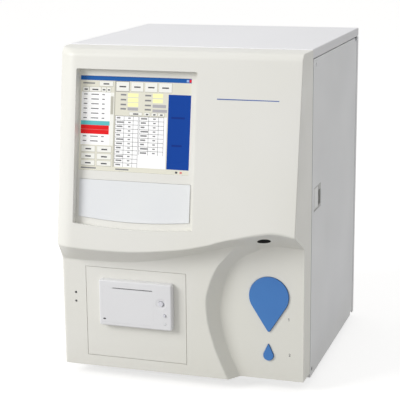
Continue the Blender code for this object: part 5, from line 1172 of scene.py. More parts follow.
def make_keys(sizes):
    """The printer's two keys and the lens of its lamp, each with its finish and its node."""
    back = PRINTER_FACE + BUTTON_LENGTH - GAP
    made = []
    for node, (x, z, radius) in (("release_button", RELEASE), ("feed_key", FEED)):
        cap = knob(f"{node}_cap", (x, z), radius * sizes.cap_share, back, PRINTER_FACE - sizes.cap_proud,
                   KEY_EDGES[node], radius * KEY_DISH)
        made.append((cap, "key_plastic", node))
    x, z, radius = LAMP
    lens = knob("printer_lamp_lens", (x, z), radius, back, PRINTER_FACE - GAP, radius * LENS_DOME, sides=32)
    return made + [(lens, "trim_sheet", "printer_lamp")]


def printed(name, outline, y):
    """A thin layer of ink on an upright face."""
    return outline_plate(name, outline, y - GAP / 3, y + GAP / 3)


def stroke(route, width):
    """The outline of a line of this width along a route."""
    left, right = [], []
    for i, point in enumerate(route):
        along = Vector(route[min(i + 1, len(route) - 1)]) - Vector(route[max(i - 1, 0)])
        side = Vector((-along.y, along.x)).normalized() * width / 2
        left.append(Vector(point) + side)
        right.append(Vector(point) - side)
    return right + left[::-1]


def number_marks(sizes):
    """The plain numbers beside the two plates, from outlines in shares of their height."""
    high, line_width = sizes.number_height, 0.15
    one = [(0.30, 0), (0.47, 0), (0.47, 1), (0.34, 1), (0.08, 0.80), (0.08, 0.64), (0.30, 0.78)]
    two = [(0.05, 0.72), (0.12, 0.86), (0.30, 0.92), (0.48, 0.86), (0.55, 0.70), (0.50, 0.54), (0.10, 0.07)]
    foot = [(0.03, 0.0), (0.62, 0.0), (0.62, 0.14), (0.03, 0.14)]
    made = []
    for name, (x, z), outline in (
        ("number_one", sizes.first_number, one),
        ("number_two", sizes.second_number, stroke(two, line_width)),
        ("number_two_foot", sizes.second_number, foot),
    ):
        made.append(printed(name, [(x + u * high, z + v * high) for u, v in outline], -PANEL_REACH))
    return made


def ellipse(x, z, wide, high, steps=24):
    return [(x + wide * math.cos(2 * math.pi * i / steps), z + high * math.sin(2 * math.pi * i / steps))
            for i in range(steps)]


def make_drop(name, sizes, x, z, radius, point, tip, stem):
    plate = outline_plate(name, drop_outline(x, z, radius, point, tip), -PANEL_REACH - DROP_PROUD,
                          -PANEL_REACH + DROP_SINK, min(sizes.drop_edge, tip * 0.9), 4)
    return join(plate, drum("drop_stem", (x, -PANEL_REACH, z), BACKWARD, stem, DROP_STEM, sides=32))


def make_status():
    """Two domed lamps on their little board."""
    high, low = STATUS_HEIGHTS
    back = -LOWER_REACH + WALL + GAP
    margin = 2 * STATUS_RADIUS
    board = (STATUS_X - margin, STATUS_X + margin, low - margin, high + margin)
    lamps = box_block("status_lights", board, back, back + STATUS_BOARD)
    start, end, dome = back + STATUS_BOARD / 2, -LOWER_REACH - GAP, STATUS_RADIUS * STATUS_DOME
    for z in STATUS_HEIGHTS:
        join(lamps, knob("status_lens", (STATUS_X, z), STATUS_RADIUS, start, end, dome, sides=24))
    return lamps


# Shell, door and rear

def make_top(sizes):
    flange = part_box("top_cover")[0].z - CASE_ORIGIN.z
    cover = block("cover_sheet", (-HALF, 0, flange), (HALF, CASE_DEPTH, CASE_HEIGHT))
    round_edges(cover, sizes.cover_round, 5)
    return cut(cover, block("cover_hollow", (-HALF + SHEET, -OVERRUN, flange - OVERRUN),
                            (HALF - SHEET, CASE_DEPTH - SHEET, CASE_HEIGHT - SHEET)))


def case_box(node):
    """A node's lowest and highest corners, counted from the case's own zero."""
    return [corner - CASE_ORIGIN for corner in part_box(node)]


def middle_of(node):
    low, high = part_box(node)
    return (low + high) / 2 - CASE_ORIGIN


def upright(node):
    """The middle of an upright round node's foot, its height and its radius."""
    low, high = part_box(node)
    middle = middle_of(node)
    return Vector((middle.x, middle.y, low.z - CASE_ORIGIN.z)), high.z - low.z, (high.x - low.x) / 2


def side_plate(name, outline, inner, outer):
    """A plate in the YZ plane from its outline."""
    return settle(outline_plate(name, outline, -outer, -inner), rotation_euler=(0, 0, math.pi / 2))


def make_latch(sizes):
    """The flush cup with its finger slot, and the paddle in its front part, round at its hinge."""
    low, high = case_box("latch_cup")
    near, far = case_box("latch_paddle")
    wall, soft, half = sizes.latch_wall, sizes.latch_corner, sizes.paddle_plate / 2
    floor, front, foot, top = low.x + wall, low.y + wall, low.z + wall, high.z - wall
    low_slot, high_slot = sizes.slot_margins
    slot = softened(rectangle((far.y - soft, high.y - wall, foot + low_slot, top - high_slot)), soft / 2)
    way = block("latch_way", (floor, front, foot), (HALF + OVERRUN, far.y + GAP, top))
    cup = cut(block("latch_shell", low, high), way, side_plate("finger_slot", slot, floor, HALF + OVERRUN))
    axis_x, axis_y, pin = HALF - GAP - half, near.y + half, half * LATCH_PIN
    steps = 12
    turns = [math.pi * (1 + step / steps) for step in range(steps + 1)]
    section = [(axis_x + half * math.cos(turn), axis_y + half * math.sin(turn)) for turn in turns]
    section += [(axis_x + half, far.y), (axis_x - half, far.y)]
    plate = loft("latch_paddle_plate", [[(x, y, z) for x, y in section] for z in (foot + GAP, top - GAP)])
    round_edges(merge_flats(plate), sizes.sheet_round)
    for piece, operation, name, radius, over in (
        (cup, "DIFFERENCE", "pin_hole", pin + GAP, GAP), (plate, "UNION", "paddle_pins", pin, 0),
    ):
        rod = drum(name, (axis_x, axis_y, near.z - over), UPWARD, far.z - near.z + 2 * over, radius, sides=20)
        combine(piece, [rod], operation)
    return cup, plate


def screw_head(name, place, axis, radius, height, sink=0.0):
    """A domed screw head with a cross recess, standing out along its axis."""
    place, axis = Vector(place), Vector(axis)
    dome = ((1, 0.25), (0.86, 0.7), (0.5, 0.95), (0, 1))
    profile = [(0, -sink), (radius, -sink)] + [(radius * across, height * up) for across, up in dome]
    head = turned(name, place, profile, axis, 32)
    side = axis.orthogonal().normalized()
    other = axis.cross(side)
    wide, long, deep = radius * 0.13, radius * 0.55, height * 0.7
    centre = place + axis * height
    for along, across in ((side, other), (other, side)):
        reach = [abs(a) * long + abs(b) * wide + abs(c) * deep for a, b, c in zip(along, across, axis)]
        cut(head, block("cross_recess", centre - Vector(reach), centre + Vector(reach)))
    return tidy_mesh(head, SOLID_MERGE)


def make_rear_screws(sizes):
    places = [(x, CASE_DEPTH, z) for z in REAR_SCREW_HEIGHTS for x in (-REAR_SCREW_X, REAR_SCREW_X)]
    shape = (BACKWARD, sizes.screw_head, SCREW_HEIGHT, SCREW_SINK)
    return gather("rear_screws", *(screw_head("rear_screw", place, *shape) for place in places))


def make_door(sizes):
    """The folded door, in its place, with its seam in front and the seat of its lower screw."""
    door = refined("service_door", "service_door_sheet", sizes.sheet_round)
    low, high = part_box("service_door")
    seam_end = (high.x + OVERRUN, low.y + sizes.door_seam - GAP, high.z + OVERRUN)
    cut(door, block("door_seam", low - Vector((OVERRUN, OVERRUN, OVERRUN)), seam_end))
    seat = CASE_ORIGIN + Vector((HALF - FLAT_SCREW, *sizes.lower_screw)) + Vector((OVERRUN, 0, 0))
    return cut(door, drum("screw_seat", seat, LEFTWARD, OVERRUN, sizes.screw_head + GAP, sides=40))


def make_lower_screw(sizes):
    """The head of the door's lower screw."""
    place = (HALF - FLAT_SCREW, *sizes.lower_screw)
    return screw_head("lower_screw_head", place, RIGHTWARD, sizes.screw_head, FLAT_SCREW)


def make_upper_screw():
    """The head and the shank of the door's upper screw."""
    middle, start = middle_of("door_screw"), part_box("door_screw")[0].x
    place, axis = (HALF - FLAT_SCREW, middle.y, middle.z), (middle.y, middle.z)
    head = screw_head("door_screw_head", place, RIGHTWARD, DOOR_SCREW_RADIUS, FLAT_SCREW)
    return join(head, cross_bar("door_screw_shank", start, HALF - DOOR_SHANK_END, *axis, DOOR_SHANK_RADIUS))


def make_foot(node):
    """A rubber foot with a groove round it and a hollow in its tread."""
    middle = middle_of(node)
    _, tall, radius = upright(node)
    groove = radius - tall * 0.05
    profile = [(0, -GAP), (radius, -GAP), (radius, -tall * 0.22), (groove, -tall * 0.30),
               (groove, -tall * 0.38), (radius, -tall * 0.46), (radius * 0.93, -tall * 0.86),
               (radius * 0.86, -tall * 0.98), (radius * 0.80, -tall - GAP), (radius * 0.34, -tall - GAP),
               (radius * 0.28, -tall * 0.55), (0, -tall * 0.55)]
    return turned(f"{node}_rubber", (middle.x, middle.y, 0), profile)


def fan_blade(sizes, middle, reach, start):
    """A blade that grows thinner, leans over and swings round towards its tip."""
    x, y, z = middle
    steps, points = 6, 16
    root, tip = FAN_HUB * BLADE_ROOT, FAN_BORE - FAN_TIP_GAP
    rings = []
    for step in range(steps + 1):
        share = step / steps
        radius = root + (tip - root) * share
        lean = math.radians(BLADE_LEAN[0] + BLADE_LEAN[1] * share)
        swing = start + BLADE_SWEEP * share
        half = reach * (BLADE_CHORD[0] + BLADE_CHORD[1] * share)
        thick = sizes.blade * (1 - BLADE_THINNING * share)
        ring = []
        for i in range(points):
            angle = 2 * math.pi * i / points
            chord, away = half * math.cos(angle), thick * math.sin(angle) / 2
            away += sizes.blade * BLADE_CAMBER * (1 - math.cos(angle) ** 2)
            depth = chord * math.cos(lean) - away * math.sin(lean)
            turn = swing + (chord * math.sin(lean) + away * math.cos(lean)) / radius
            ring.append((x + radius * math.sin(turn), y + depth, z + radius * math.cos(turn)))
        rings.append(ring)
    return loft("fan_blade", rings)


def make_rotor(sizes):
    """The fan's hub, chamfered and with a shallow ring in its face, and its blades."""
    x, z = FAN
    front = CASE_DEPTH - SHEET - GAP - FAN_DEPTH + FAN_PLATE + GAP
    reach = FAN_DEPTH - FAN_PLATE - 2 * GAP - SHEET
    near_edge, far_edge, dent = 0.001, 0.0012, 0.0006
    profile = [(0, 0), (FAN_HUB - near_edge, 0), (FAN_HUB, near_edge), (FAN_HUB, reach - far_edge),
               (FAN_HUB - far_edge, reach), (FAN_HUB * 0.4, reach), (FAN_HUB * 0.35, reach - dent),
               (0, reach - dent)]
    hub = turned("fan_hub", (x, front, z), profile, BACKWARD)
    middle = (x, front + reach / 2, z)
    return gather("fan_rotor_moulded", hub, *(fan_blade(sizes, middle, reach, 2 * math.pi * i / FAN_BLADES)
                                              for i in range(FAN_BLADES)))


def make_guard(sizes):
    """Wire rings, the outer one twice as thick, on two crossed arms."""
    x, z = FAN
    near = CASE_DEPTH + GAP
    wire = sizes.guard_wire / 2
    parts = []
    for radius in (*GUARD_RINGS, GUARD_RIM):
        thick, back = (2 * wire, 0) if radius == GUARD_RIM else (wire, wire / 3)
        take()
        bpy.ops.mesh.primitive_torus_add(
            location=(x, near + 2 * wire - back, z), rotation=(math.pi / 2, 0, 0),
            major_radius=radius, minor_radius=thick * 0.98, major_segments=72, minor_segments=12,
        )
        parts.append(added("guard_ring"))
    for angle in (math.pi / 4, 3 * math.pi / 4):
        axis = Vector((math.cos(angle), 0, math.sin(angle)))
        start = Vector((x, near + wire * 2.4, z)) - axis * GUARD_ARM
        parts.append(drum("guard_arm", start, axis, 2 * GUARD_ARM, wire, sides=16))
    return gather("fan_guard_wires", *parts)


def make_contacts():
    """The three blades in the power inlet."""
    x, z = INLET
    floor = CASE_DEPTH + GAP + INLET_FLANGE - INLET_DEPTH
    wide, high = CONTACT_HALF
    contacts = []
    for i in (-1, 0, 1):
        place_x, place_z = x + INLET_MIDDLE + i * CONTACT_PITCH, z + (1 - abs(i)) * CONTACT_RISE
        box = (place_x - wide, place_x + wide, place_z - high, place_z + high)
        blade = box_block("inlet_contact", box, floor - GAP, floor + CONTACT_REACH)
        contacts.append(round_edges(blade, FINE_ROUND))
    return gather("inlet_contacts", *contacts)


def make_ports():
    """Four barbed nozzles on a plate."""
    x, z, wide, high = PORTS
    near = CASE_DEPTH + GAP
    box = (x - wide / 2, x + wide / 2, z - high / 2, z + high / 2)
    plate = round_edges(box_block("port_plate", box, near, near + PORT_PLATE), PORT_ROUND, 3)
    nozzles = [turned("port_nozzle", (x + place * PORT_PITCH, CASE_DEPTH, z), NOZZLE_LINE, BACKWARD, 40)
               for place in (-1.5, -0.5, 0.5, 1.5)]
    return gather("reagent_nozzles", plate, *nozzles)


# Inside

def pipe(name, route, radius, sides=16):
    """A round tube solid along a smooth route."""
    points = smooth_route(route, 8)
    rings = []
    side = Vector(RIGHTWARD)
    for i, point in enumerate(points):
        along = (points[min(i + 1, len(points) - 1)] - points[max(i - 1, 0)]).normalized()
        side = (side - along * side.dot(along)).normalized()
        other = along.cross(side)
        rings.append([point + side * radius * math.cos(2 * math.pi * n / sides)
                      + other * radius * math.sin(2 * math.pi * n / sides) for n in range(sides)])
    return loft(name, rings)


def make_roll():
    """The wound paper on a core that stands a little back at both ends."""
    low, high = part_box("paper_roll")
    half, outer = (high.x - low.x) / 2, (high.z - low.z) / 2
    bore, core, back, edge = 0.006, 0.0012, 0.0008, 0.0002
    line = both_ends([(bore, half - back), (bore + core, half - back), (bore + core + edge / 2, half),
                      (outer - edge, half), (outer, half - edge)])
    return turned("paper_winding", middle_of("paper_roll"), line + line[:1], RIGHTWARD, 72)


def make_platen():
    """The rubber roller on its shaft."""
    low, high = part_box("platen_roller")
    half, edge = (high.x - low.x) / 2, 0.0002
    rubber = half - BUTTON_GAP - PRINTER_WALL
    line = both_ends([(0, half), (PLATEN_SHAFT - edge, half), (PLATEN_SHAFT, half - edge),
                      (PLATEN_SHAFT, rubber), (PLATEN_RADIUS - edge, rubber), (PLATEN_RADIUS, rubber - edge)])
    return turned("platen_rubber", middle_of("platen_roller"), line, RIGHTWARD, 40)


def make_rod(node):
    """A ground guide rod, chamfered at both ends."""
    base, reach, radius = upright(node)
    profile = [(0, 0), (radius * 0.8, 0), (radius, radius * 0.2), (radius, reach - radius * 0.2),
               (radius * 0.8, reach), (0, reach)]
    return turned(f"{node}_ground", base, profile, sides=40)


def make_thread(sizes):
    """The lead screw, its thread drawn as close grooves."""
    base, reach, radius = upright("lead_screw")
    root, pitch = radius * 0.8, sizes.thread_pitch
    grooves = int(reach / pitch) - 1
    start = (reach - grooves * pitch) / 2
    profile = [(0, 0), (root, 0)]
    for groove in range(grooves):
        level = start + groove * pitch
        profile += [(root, level), (radius, level + pitch * 0.35), (radius, level + pitch * 0.6),
                    (root, level + pitch * 0.95)]
    return turned("lead_screw_thread", base, profile + [(root, reach), (0, reach)], sides=24)


def make_needle():
    """The probe's needle, cut to a cone below and with a collar above."""
    x, y, _ = PROBE_PLACE
    base, reach, _ = upright("sample_probe")
    tip, radius, cone, collar, edge = 0.0005, 0.0012, 0.0035, 0.0030, 0.0004
    profile = [(0, 0), (tip, 0), (radius, cone), (radius, reach - collar), (collar, reach - collar),
               (collar, reach - edge), (collar - edge, reach), (0, reach)]
    return turned("probe_needle", (x, y, base.z), profile, sides=40)


def make_bush():
    """The wash bush that the needle comes down through."""
    x, y, _ = PROBE_PLACE
    return turned("wash_bush_turned", (x, y, UNIT_FOOT + UNIT_PLATE), BUSH_LINE, sides=56)


def make_bath(node):
    """A counting bath: a cup with a collar and a nipple, its wall open above."""
    base, reach, _ = upright(node)
    rim = [(BATH_LINE[-1][0], reach), (BATH_LINE[0][0], reach)]
    return turned(f"{node}_cup", base, rim + list(BATH_LINE) + rim[:1])


def make_barrel():
    """The syringe's glass barrel, open below and with its neck above."""
    base, reach, _ = upright("syringe_barrel")
    shoulder, bore, outer, neck = reach - SYRINGE_NECK, 0.0075, 0.009, 0.003
    profile = [(0, reach), (neck, reach), (neck, shoulder + 0.0008), (0.0042, shoulder), (0.0084, shoulder),
               (outer, shoulder - 0.0006), (outer, 0.0006), (0.0086, 0), (bore, 0), (bore, shoulder - 0.002),
               (0, shoulder - 0.002)]
    return turned("syringe_glass", base, profile)


def make_valves():
    """A row of valve coils on their plate."""
    low, high = case_box("valve_bank")
    coils = [round_edges(block("valve_plate", low, (low.x + VALVE_PLATE, high.y, high.z)), SOFT_ROUND)]
    x, z, pitch = low.x + VALVE_PLATE / 2, (low.z + high.z) / 2, (high.y - low.y) / VALVES
    for i in range(VALVES):
        place = (x, low.y + pitch * (i + 0.5), z)
        coils.append(turned("valve_coil", place, COIL_LINE, RIGHTWARD, 40))
    return gather("valve_coils", *coils)


def make_bottle():
    """The waste chamber as a bottle with a band round it."""
    return turned("waste_bottle", upright("waste_chamber")[0], BOTTLE_LINE)


def make_tubes():
    """The drain tubes, from the baths' nipples to the waste bottle's neck, each with its node."""
    goal = middle_of("waste_chamber")
    y, nipple, neck = *NIPPLE, NECK_HEIGHT
    made = []
    for i, (node, x) in enumerate(TUBE_STARTS):
        end_x = goal.x + (i - 0.5) * NECK_SPREAD
        route = [
            (x, y, nipple), (x, y, nipple - TUBE_BEND), (x, y + TUBE_BEND, nipple - 2 * TUBE_BEND),
            ((x + goal.x) / 2, (y + goal.y) / 2, neck + TUBE_BEND),
            (end_x, goal.y - TUBE_BEND, neck + 2 * TUBE_BEND), (end_x, goal.y, neck + TUBE_BEND),
            (end_x, goal.y, neck),
        ]
        made.append((pipe(f"{node}_pipe", route, TUBE_RADIUS), "milky_plastic", node))
    return made


def make_board_parts():
    """The board without its sockets, and its chips."""
    board = refined("main_board", "main_board_sheet", BOARD_ROUND, 1)
    near = CASE_ORIGIN + Vector((-HALF, CASE_DEPTH - LINK_DEPTH - GAP, LINK_Z - LINK_HEIGHT))
    far = CASE_ORIGIN + Vector((LINK_X + LINK_WIDTH / 2 - GAP, CASE_DEPTH + OVERRUN, LINK_Z + LINK_HEIGHT))
    cut(board, block("sockets_away", near, far))
    chips = []
    left = DIVIDER_X - BOARD_OFFSET - BOARD_THICKNESS
    front, back, foot, top = BOARD
    deep, tall = back - front, top - foot
    for near, under, far, over in BOARD_CHIP_SHARES:
        chip = block("board_chip", (left - CHIP_FACE, front + deep * near - GAP, foot + tall * under - GAP),
                     (left - CHIP_SEAT, front + deep * far + GAP, foot + tall * over + GAP))
        chips.append(round_edges(chip, SOFT_ROUND))
    return board, gather("board_chips", *chips)


def make_links():
    """The block of data sockets at the back, and the contact tongue in each of them."""
    half, pitch = LINK_WIDTH / 2, LINK_HEIGHT / 3
    wide, high = LINK_WIDTH / 3, pitch / 3
    front, back = CASE_DEPTH - OVERRUN, CASE_DEPTH + OVERRUN
    shell = (LINK_X - half, LINK_X + half, LINK_Z - LINK_HEIGHT / 2, LINK_Z + LINK_HEIGHT / 2)
    housing = box_block("link_sockets", shell, CASE_DEPTH - LINK_DEPTH, CASE_DEPTH + LINK_PROUD)
    round_edges(housing, SOFT_ROUND, 3)
    tongues = []
    for z in (LINK_Z - pitch, LINK_Z, LINK_Z + pitch):
        socket = (LINK_X - wide, LINK_X + wide, z - high, z + high)
        cut(housing, box_block("link_socket", socket, front, back))
        box = (LINK_X - wide * 0.3, LINK_X + wide * 0.1, z - high * 0.75, z + high * 0.75)
        tongue = box_block("link_tongue", box, front - GAP, CASE_DEPTH + LINK_PROUD / 3)
        tongues.append(round_edges(tongue, TONGUE_ROUND))
    return housing, gather("link_tongues", *tongues)


# Shader groups
WHITE = (1, 1, 1)


def add_node(tree, kind, inputs=None, **settings):
    """A new shader node with its settings and the values of its inputs."""
    node = tree.nodes.new(f"ShaderNode{kind}")
    for name, value in settings.items():
        setattr(node, name, value)
    for label, value in (inputs or {}).items():
        node.inputs[label].default_value = value
    return node


def connect(tree, *links):
    """Leads a node's outlet to a node's inlet, for each link."""
    for source, outlet, target, inlet in links:
        tree.links.new(source.outputs[outlet], target.inputs[inlet])


def new_group(name, inputs, outputs):
    """An empty node group with these sockets, and its ends."""
    group = bpy.data.node_groups.new(name, "ShaderNodeTree")
    for way, sockets in (("INPUT", inputs), ("OUTPUT", outputs)):
        for label, kind in sockets.items():
            group.interface.new_socket(name=label, in_out=way, socket_type=f"NodeSocket{kind}")
    return group, group.nodes.new("NodeGroupInput"), group.nodes.new("NodeGroupOutput")


def noise_node(tree, scale, detail=3.0, roughness=0.5):
    return add_node(tree, "TexNoise", {"Scale": scale, "Detail": detail, "Roughness": roughness})


def make_drift_group():
    """Two tones that drift into each other in soft clouds."""
    inputs = {"Tone": "Color", "Drift": "Color", "Scale": "Float"}
    group, start, end = new_group("tone_drift", inputs, {"Color": "Color"})
    place = add_node(group, "TexCoord")
    cloud = noise_node(group, 6.0, 2.0)
    span = add_node(group, "MapRange", {"From Min": 0.35, "From Max": 0.65})
    mix = add_node(group, "Mix", data_type="RGBA")
    connect(group, (place, "Object", cloud, "Vector"), (start, "Scale", cloud, "Scale"),
            (cloud, "Fac", span, "Value"), (span, "Result", mix, "Factor"), (start, "Tone", mix, "A"),
            (start, "Drift", mix, "B"), (mix, "Result", end, "Color"))
    return group


def make_grain_group():
    """A fine grain's height, and a gloss that changes in broad clouds."""
    inputs = {"Scale": "Float", "Stretch": "Vector", "Smooth": "Float", "Rough": "Float"}
    group, start, end = new_group("surface_grain", inputs, {"Height": "Float", "Roughness": "Float"})
    place = add_node(group, "TexCoord")
    turn = add_node(group, "Mapping")
    fine = noise_node(group, 900.0, 3.0)
    broad = noise_node(group, 14.0, 2.0)
    span = add_node(group, "MapRange", {"From Min": 0.3, "From Max": 0.7})
    connect(group, (place, "Object", turn, "Vector"), (start, "Stretch", turn, "Scale"),
            (turn, "Vector", fine, "Vector"), (place, "Object", broad, "Vector"),
            (start, "Scale", fine, "Scale"), (broad, "Fac", span, "Value"), (start, "Smooth", span, "To Min"),
            (start, "Rough", span, "To Max"), (fine, "Fac", end, "Height"),
            (span, "Result", end, "Roughness"))
    return group


def make_dust_group():
    """Specks of dust that grow denser from one height down to another."""
    inputs = {"Color": "Color", "Dust": "Color", "Low": "Float", "High": "Float", "Most": "Float"}
    group, start, end = new_group("settled_dust", inputs, {"Color": "Color"})
    place = add_node(group, "TexCoord")
    axes = add_node(group, "SeparateXYZ")
    span = add_node(group, "MapRange")
    specks = noise_node(group, 160.0, 4.0, 0.6)
    product = add_node(group, "Math", operation="MULTIPLY")
    mix = add_node(group, "Mix", data_type="RGBA")
    connect(group, (place, "Object", axes, "Vector"), (place, "Object", specks, "Vector"),
            (axes, "Z", span, "Value"), (start, "Low", span, "From Max"), (start, "High", span, "From Min"),
            (start, "Most", span, "To Max"), (span, "Result", product, 0), (specks, "Fac", product, 1),
            (product, "Value", mix, "Factor"), (start, "Color", mix, "A"), (start, "Dust", mix, "B"),
            (mix, "Result", end, "Color"))
    return group


GROUPS = {}
FINISHES = {}

# Dust lies from the first height down to the second, and a grain stands this high
DUST = srgb(196, 190, 176)
DUST_START = 0.06
DUST_END = 0.0
GRAIN_DEPTH = 0.0002


def new_finish(name, tone, drift, roughness, grain, bump, metallic=0.0, drift_scale=6.0, stretch=(1, 1, 1),
               coat=0.0, dust=0.0, spread=0.06, **sockets):
    """A finish with drifting tone, uneven gloss and a fine grain."""
    finish = bpy.data.materials.new(name)
    finish.use_nodes = True
    tree = finish.node_tree
    shader = tree.nodes["Principled BSDF"]
    sockets.update(Metallic=metallic, Coat_Weight=coat)
    for label, value in sockets.items():
        shader.inputs[label.replace("_", " ")].default_value = value
    paint = add_node(tree, "Group", {"Scale": drift_scale, "Tone": (*tone, 1), "Drift": (*drift, 1)},
                     node_tree=GROUPS["tone_drift"])
    if dust:
        under = paint
        heights = {"Low": DUST_END, "High": DUST_START, "Most": dust, "Dust": (*DUST, 1)}
        paint = add_node(tree, "Group", heights, node_tree=GROUPS["settled_dust"])
        connect(tree, (under, "Color", paint, "Color"))
    least, most = max(roughness - spread, 0.02), min(roughness + spread, 1.0)
    texture = add_node(tree, "Group", {"Scale": grain, "Stretch": stretch, "Smooth": least, "Rough": most},
                       node_tree=GROUPS["surface_grain"])
    relief = add_node(tree, "Bump", {"Strength": bump, "Distance": GRAIN_DEPTH})
    connect(tree, (paint, "Color", shader, "Base Color"), (texture, "Height", relief, "Height"),
            (texture, "Roughness", shader, "Roughness"), (relief, "Normal", shader, "Normal"))
    FINISHES[name] = finish
    return finish


def make_finishes():
    """All finishes: name, tone, drift, roughness, scale and relief of the grain, then what is special."""
    chosen = bpy.context.scene.analyzer_colours
    for group in (make_drift_group(), make_grain_group(), make_dust_group()):
        GROUPS[group.name] = group
    new_finish("ivory_moulding", chosen.bezel, chosen.bezel_drift, 0.42, 1500, 0.10, drift_scale=4, dust=0.25)
    new_finish("grey_powder_coat", chosen.case, chosen.case_drift, 0.48, 700, 0.22, drift_scale=3, dust=0.35)
    new_finish("white_powder_coat", chosen.cover, srgb(240, 240, 242), 0.70, 700, 0.20, drift_scale=3,
               Specular_IOR_Level=0.08)
    new_finish("printer_moulding", chosen.printer, srgb(227, 227, 229), 0.36, 1800, 0.08)
    new_finish("trim_sheet", chosen.trim, srgb(230, 232, 235), 0.48, 1200, 0.05, drift_scale=9)
    new_finish("blue_plates", chosen.plate, srgb(60, 119, 189), 0.42, 1400, 0.10, drift_scale=12)
    new_finish("stripe_ink", chosen.stripe, srgb(54, 96, 170), 0.45, 2600, 0.12, drift_scale=60)
    new_finish("dark_ink", chosen.ink, srgb(74, 74, 80), 0.5, 2600, 0.12, drift_scale=200)
    new_finish("black_plastic", chosen.dark, srgb(52, 52, 55), 0.42, 1300, 0.14)
    # Near-black with little gloss: paints the shade inside the probe hole, on its sleeve and on the wash
    # bush.
    new_finish("deep_black", srgb(16, 16, 17), srgb(22, 22, 23), 0.6, 1300, 0.1, Specular_IOR_Level=0.2)
    new_finish("lens_dark", srgb(34, 36, 38), srgb(46, 48, 50), 0.16, 1500, 0.03, coat=0.5)
    new_finish("key_plastic", srgb(226, 226, 232), srgb(218, 218, 226), 0.32, 1800, 0.06)
    new_finish("rubber", srgb(38, 38, 39), srgb(50, 49, 47), 0.82, 900, 0.35, dust=0.5)
    new_finish("zinc_sheet", srgb(212, 214, 216), srgb(204, 207, 210), 0.42, 400, 0.10, metallic=0.7,
               drift_scale=14)
    new_finish("bright_steel", srgb(208, 209, 211), srgb(190, 192, 195), 0.22, 500, 0.10, metallic=1.0,
               stretch=(1, 1, 12), drift_scale=30, spread=0.08)
    new_finish("blackened_steel", srgb(70, 71, 73), srgb(88, 89, 92), 0.40, 900, 0.15, metallic=0.7)
    new_finish("motor_black", srgb(46, 47, 50), srgb(60, 60, 63), 0.45, 800, 0.2)
    new_finish("paper", srgb(240, 240, 236), srgb(232, 231, 225), 0.8, 1100, 0.2, stretch=(1, 6, 6))
    new_finish("board_green", srgb(30, 92, 58), srgb(24, 74, 48), 0.4, 700, 0.2, drift_scale=220)
    new_finish("white_nylon", srgb(224, 224, 220), srgb(214, 213, 207), 0.45, 1200, 0.1)
    new_finish("clear_plastic", srgb(226, 234, 238), srgb(206, 220, 228), 0.12, 900, 0.03, spread=0.04,
               Transmission_Weight=0.85, IOR=1.46)
    new_finish("milky_plastic", srgb(226, 228, 224), srgb(214, 218, 214), 0.35, 900, 0.05,
               Transmission_Weight=0.25, IOR=1.46)
    new_finish("latch_plastic", srgb(220, 221, 220), srgb(213, 214, 213), 0.36, 1300, 0.08)
    # The latch cup's grey is darkened to paint the shade of its rim, its gap and its finger slot.
    new_finish("latch_shade", srgb(186, 186, 184), srgb(178, 178, 176), 0.5, 1300, 0.08)
    make_display_finish()


def make_display_finish():
    """The display: its picture's tones behind a faintly uneven, glossy film."""
    finish = new_finish("lit_display", WHITE, WHITE, 0.22, 2200, 0.02, Specular_IOR_Level=0.12,
                        Emission_Strength=0.12)
    tree = finish.node_tree
    shader = tree.nodes["Principled BSDF"]
    picture = add_node(tree, "Attribute", attribute_name="picture")
    connect(tree, (picture, "Color", shader, "Base Color"), (picture, "Color", shader, "Emission Color"))


# Operators

class ANALYZER_OT_finishes(Operator):
    """Make the finishes that all pieces share"""
    bl_idname = "analyzer.finishes"
    bl_label = "Finishes"

    def execute(self, context):
        make_finishes()
        return {"FINISHED"}


class ANALYZER_OT_bezel(Operator):
    """Mould the front bezel with its wavy lip and sampling recess"""
    bl_idname = "analyzer.bezel"
    bl_label = "Bezel"

    def execute(self, context):
        bezel, grommet = make_bezel(context.scene.analyzer_bezel)
        # The sleeve's near-black finish paints the shade inside the probe hole.
        add_on(grommet, "deep_black", "front_bezel")
        hand_over(bezel, "ivory_moulding", "front_bezel")
        return {"FINISHED"}


class ANALYZER_OT_screen(Operator):
    """Fit the display, its surround and the plate below it"""
    bl_idname = "analyzer.screen"
    bl_label = "Screen"

    def execute(self, context):
        backing, trim = make_screen(context.scene.analyzer_front)
        hand_over(backing, "ivory_moulding", "screen_frame")
        hand_over(trim, "trim_sheet", "screen_trim")
        add_on(make_picture(), "lit_display", "lcd_panel")
        dress("black_plastic", "lcd_panel")
        return {"FINISHED"}


class ANALYZER_OT_stripe(Operator):
    """Print the blue stripe on the slanted front"""
    bl_idname = "analyzer.stripe"
    bl_label = "Stripe"

    def execute(self, context):
        left, right, level = STRIPE
        high = context.scene.analyzer_front.stripe_height
        outline = rectangle((left, right, level - high / 2, level + high / 2))
        stripe = fascia_plate("fascia_stripe", outline, -GAP / 3, 2 * GAP / 3)
        add_on(stripe, "stripe_ink", "front_bezel")
        return {"FINISHED"}


class ANALYZER_OT_printer(Operator):
    """Mould the panel printer with its cover and keys"""
    bl_idname = "analyzer.printer"
    bl_label = "Printer"

    def execute(self, context):
        sizes = context.scene.analyzer_front
        hand_over(make_panel(sizes), "ivory_moulding", "printer_panel")
        hand_over(make_housing(sizes), "printer_moulding", "printer_housing")
        hand_over(make_cover(sizes), "printer_moulding", "printer_cover")
        x, z, wide, high = COVER_MARK
        mark = printed("cover_mark", ellipse(COVER_LEFT + x, z, wide, high), PRINTER_FACE)
        add_on(mark, "dark_ink", "printer_cover")
        for piece, finish, node in make_keys(sizes):
            hand_over(piece, finish, node)
        return {"FINISHED"}


class ANALYZER_OT_paper(Operator):
    """Wind the paper roll and turn the roller that feeds it"""
    bl_idname = "analyzer.paper"
    bl_label = "Paper roll and roller"

    def execute(self, context):
        hand_over(make_roll(), "paper", "paper_roll")
        hand_over(make_platen(), "rubber", "platen_roller")
        dress("blackened_steel", "thermal_head")
        return {"FINISHED"}


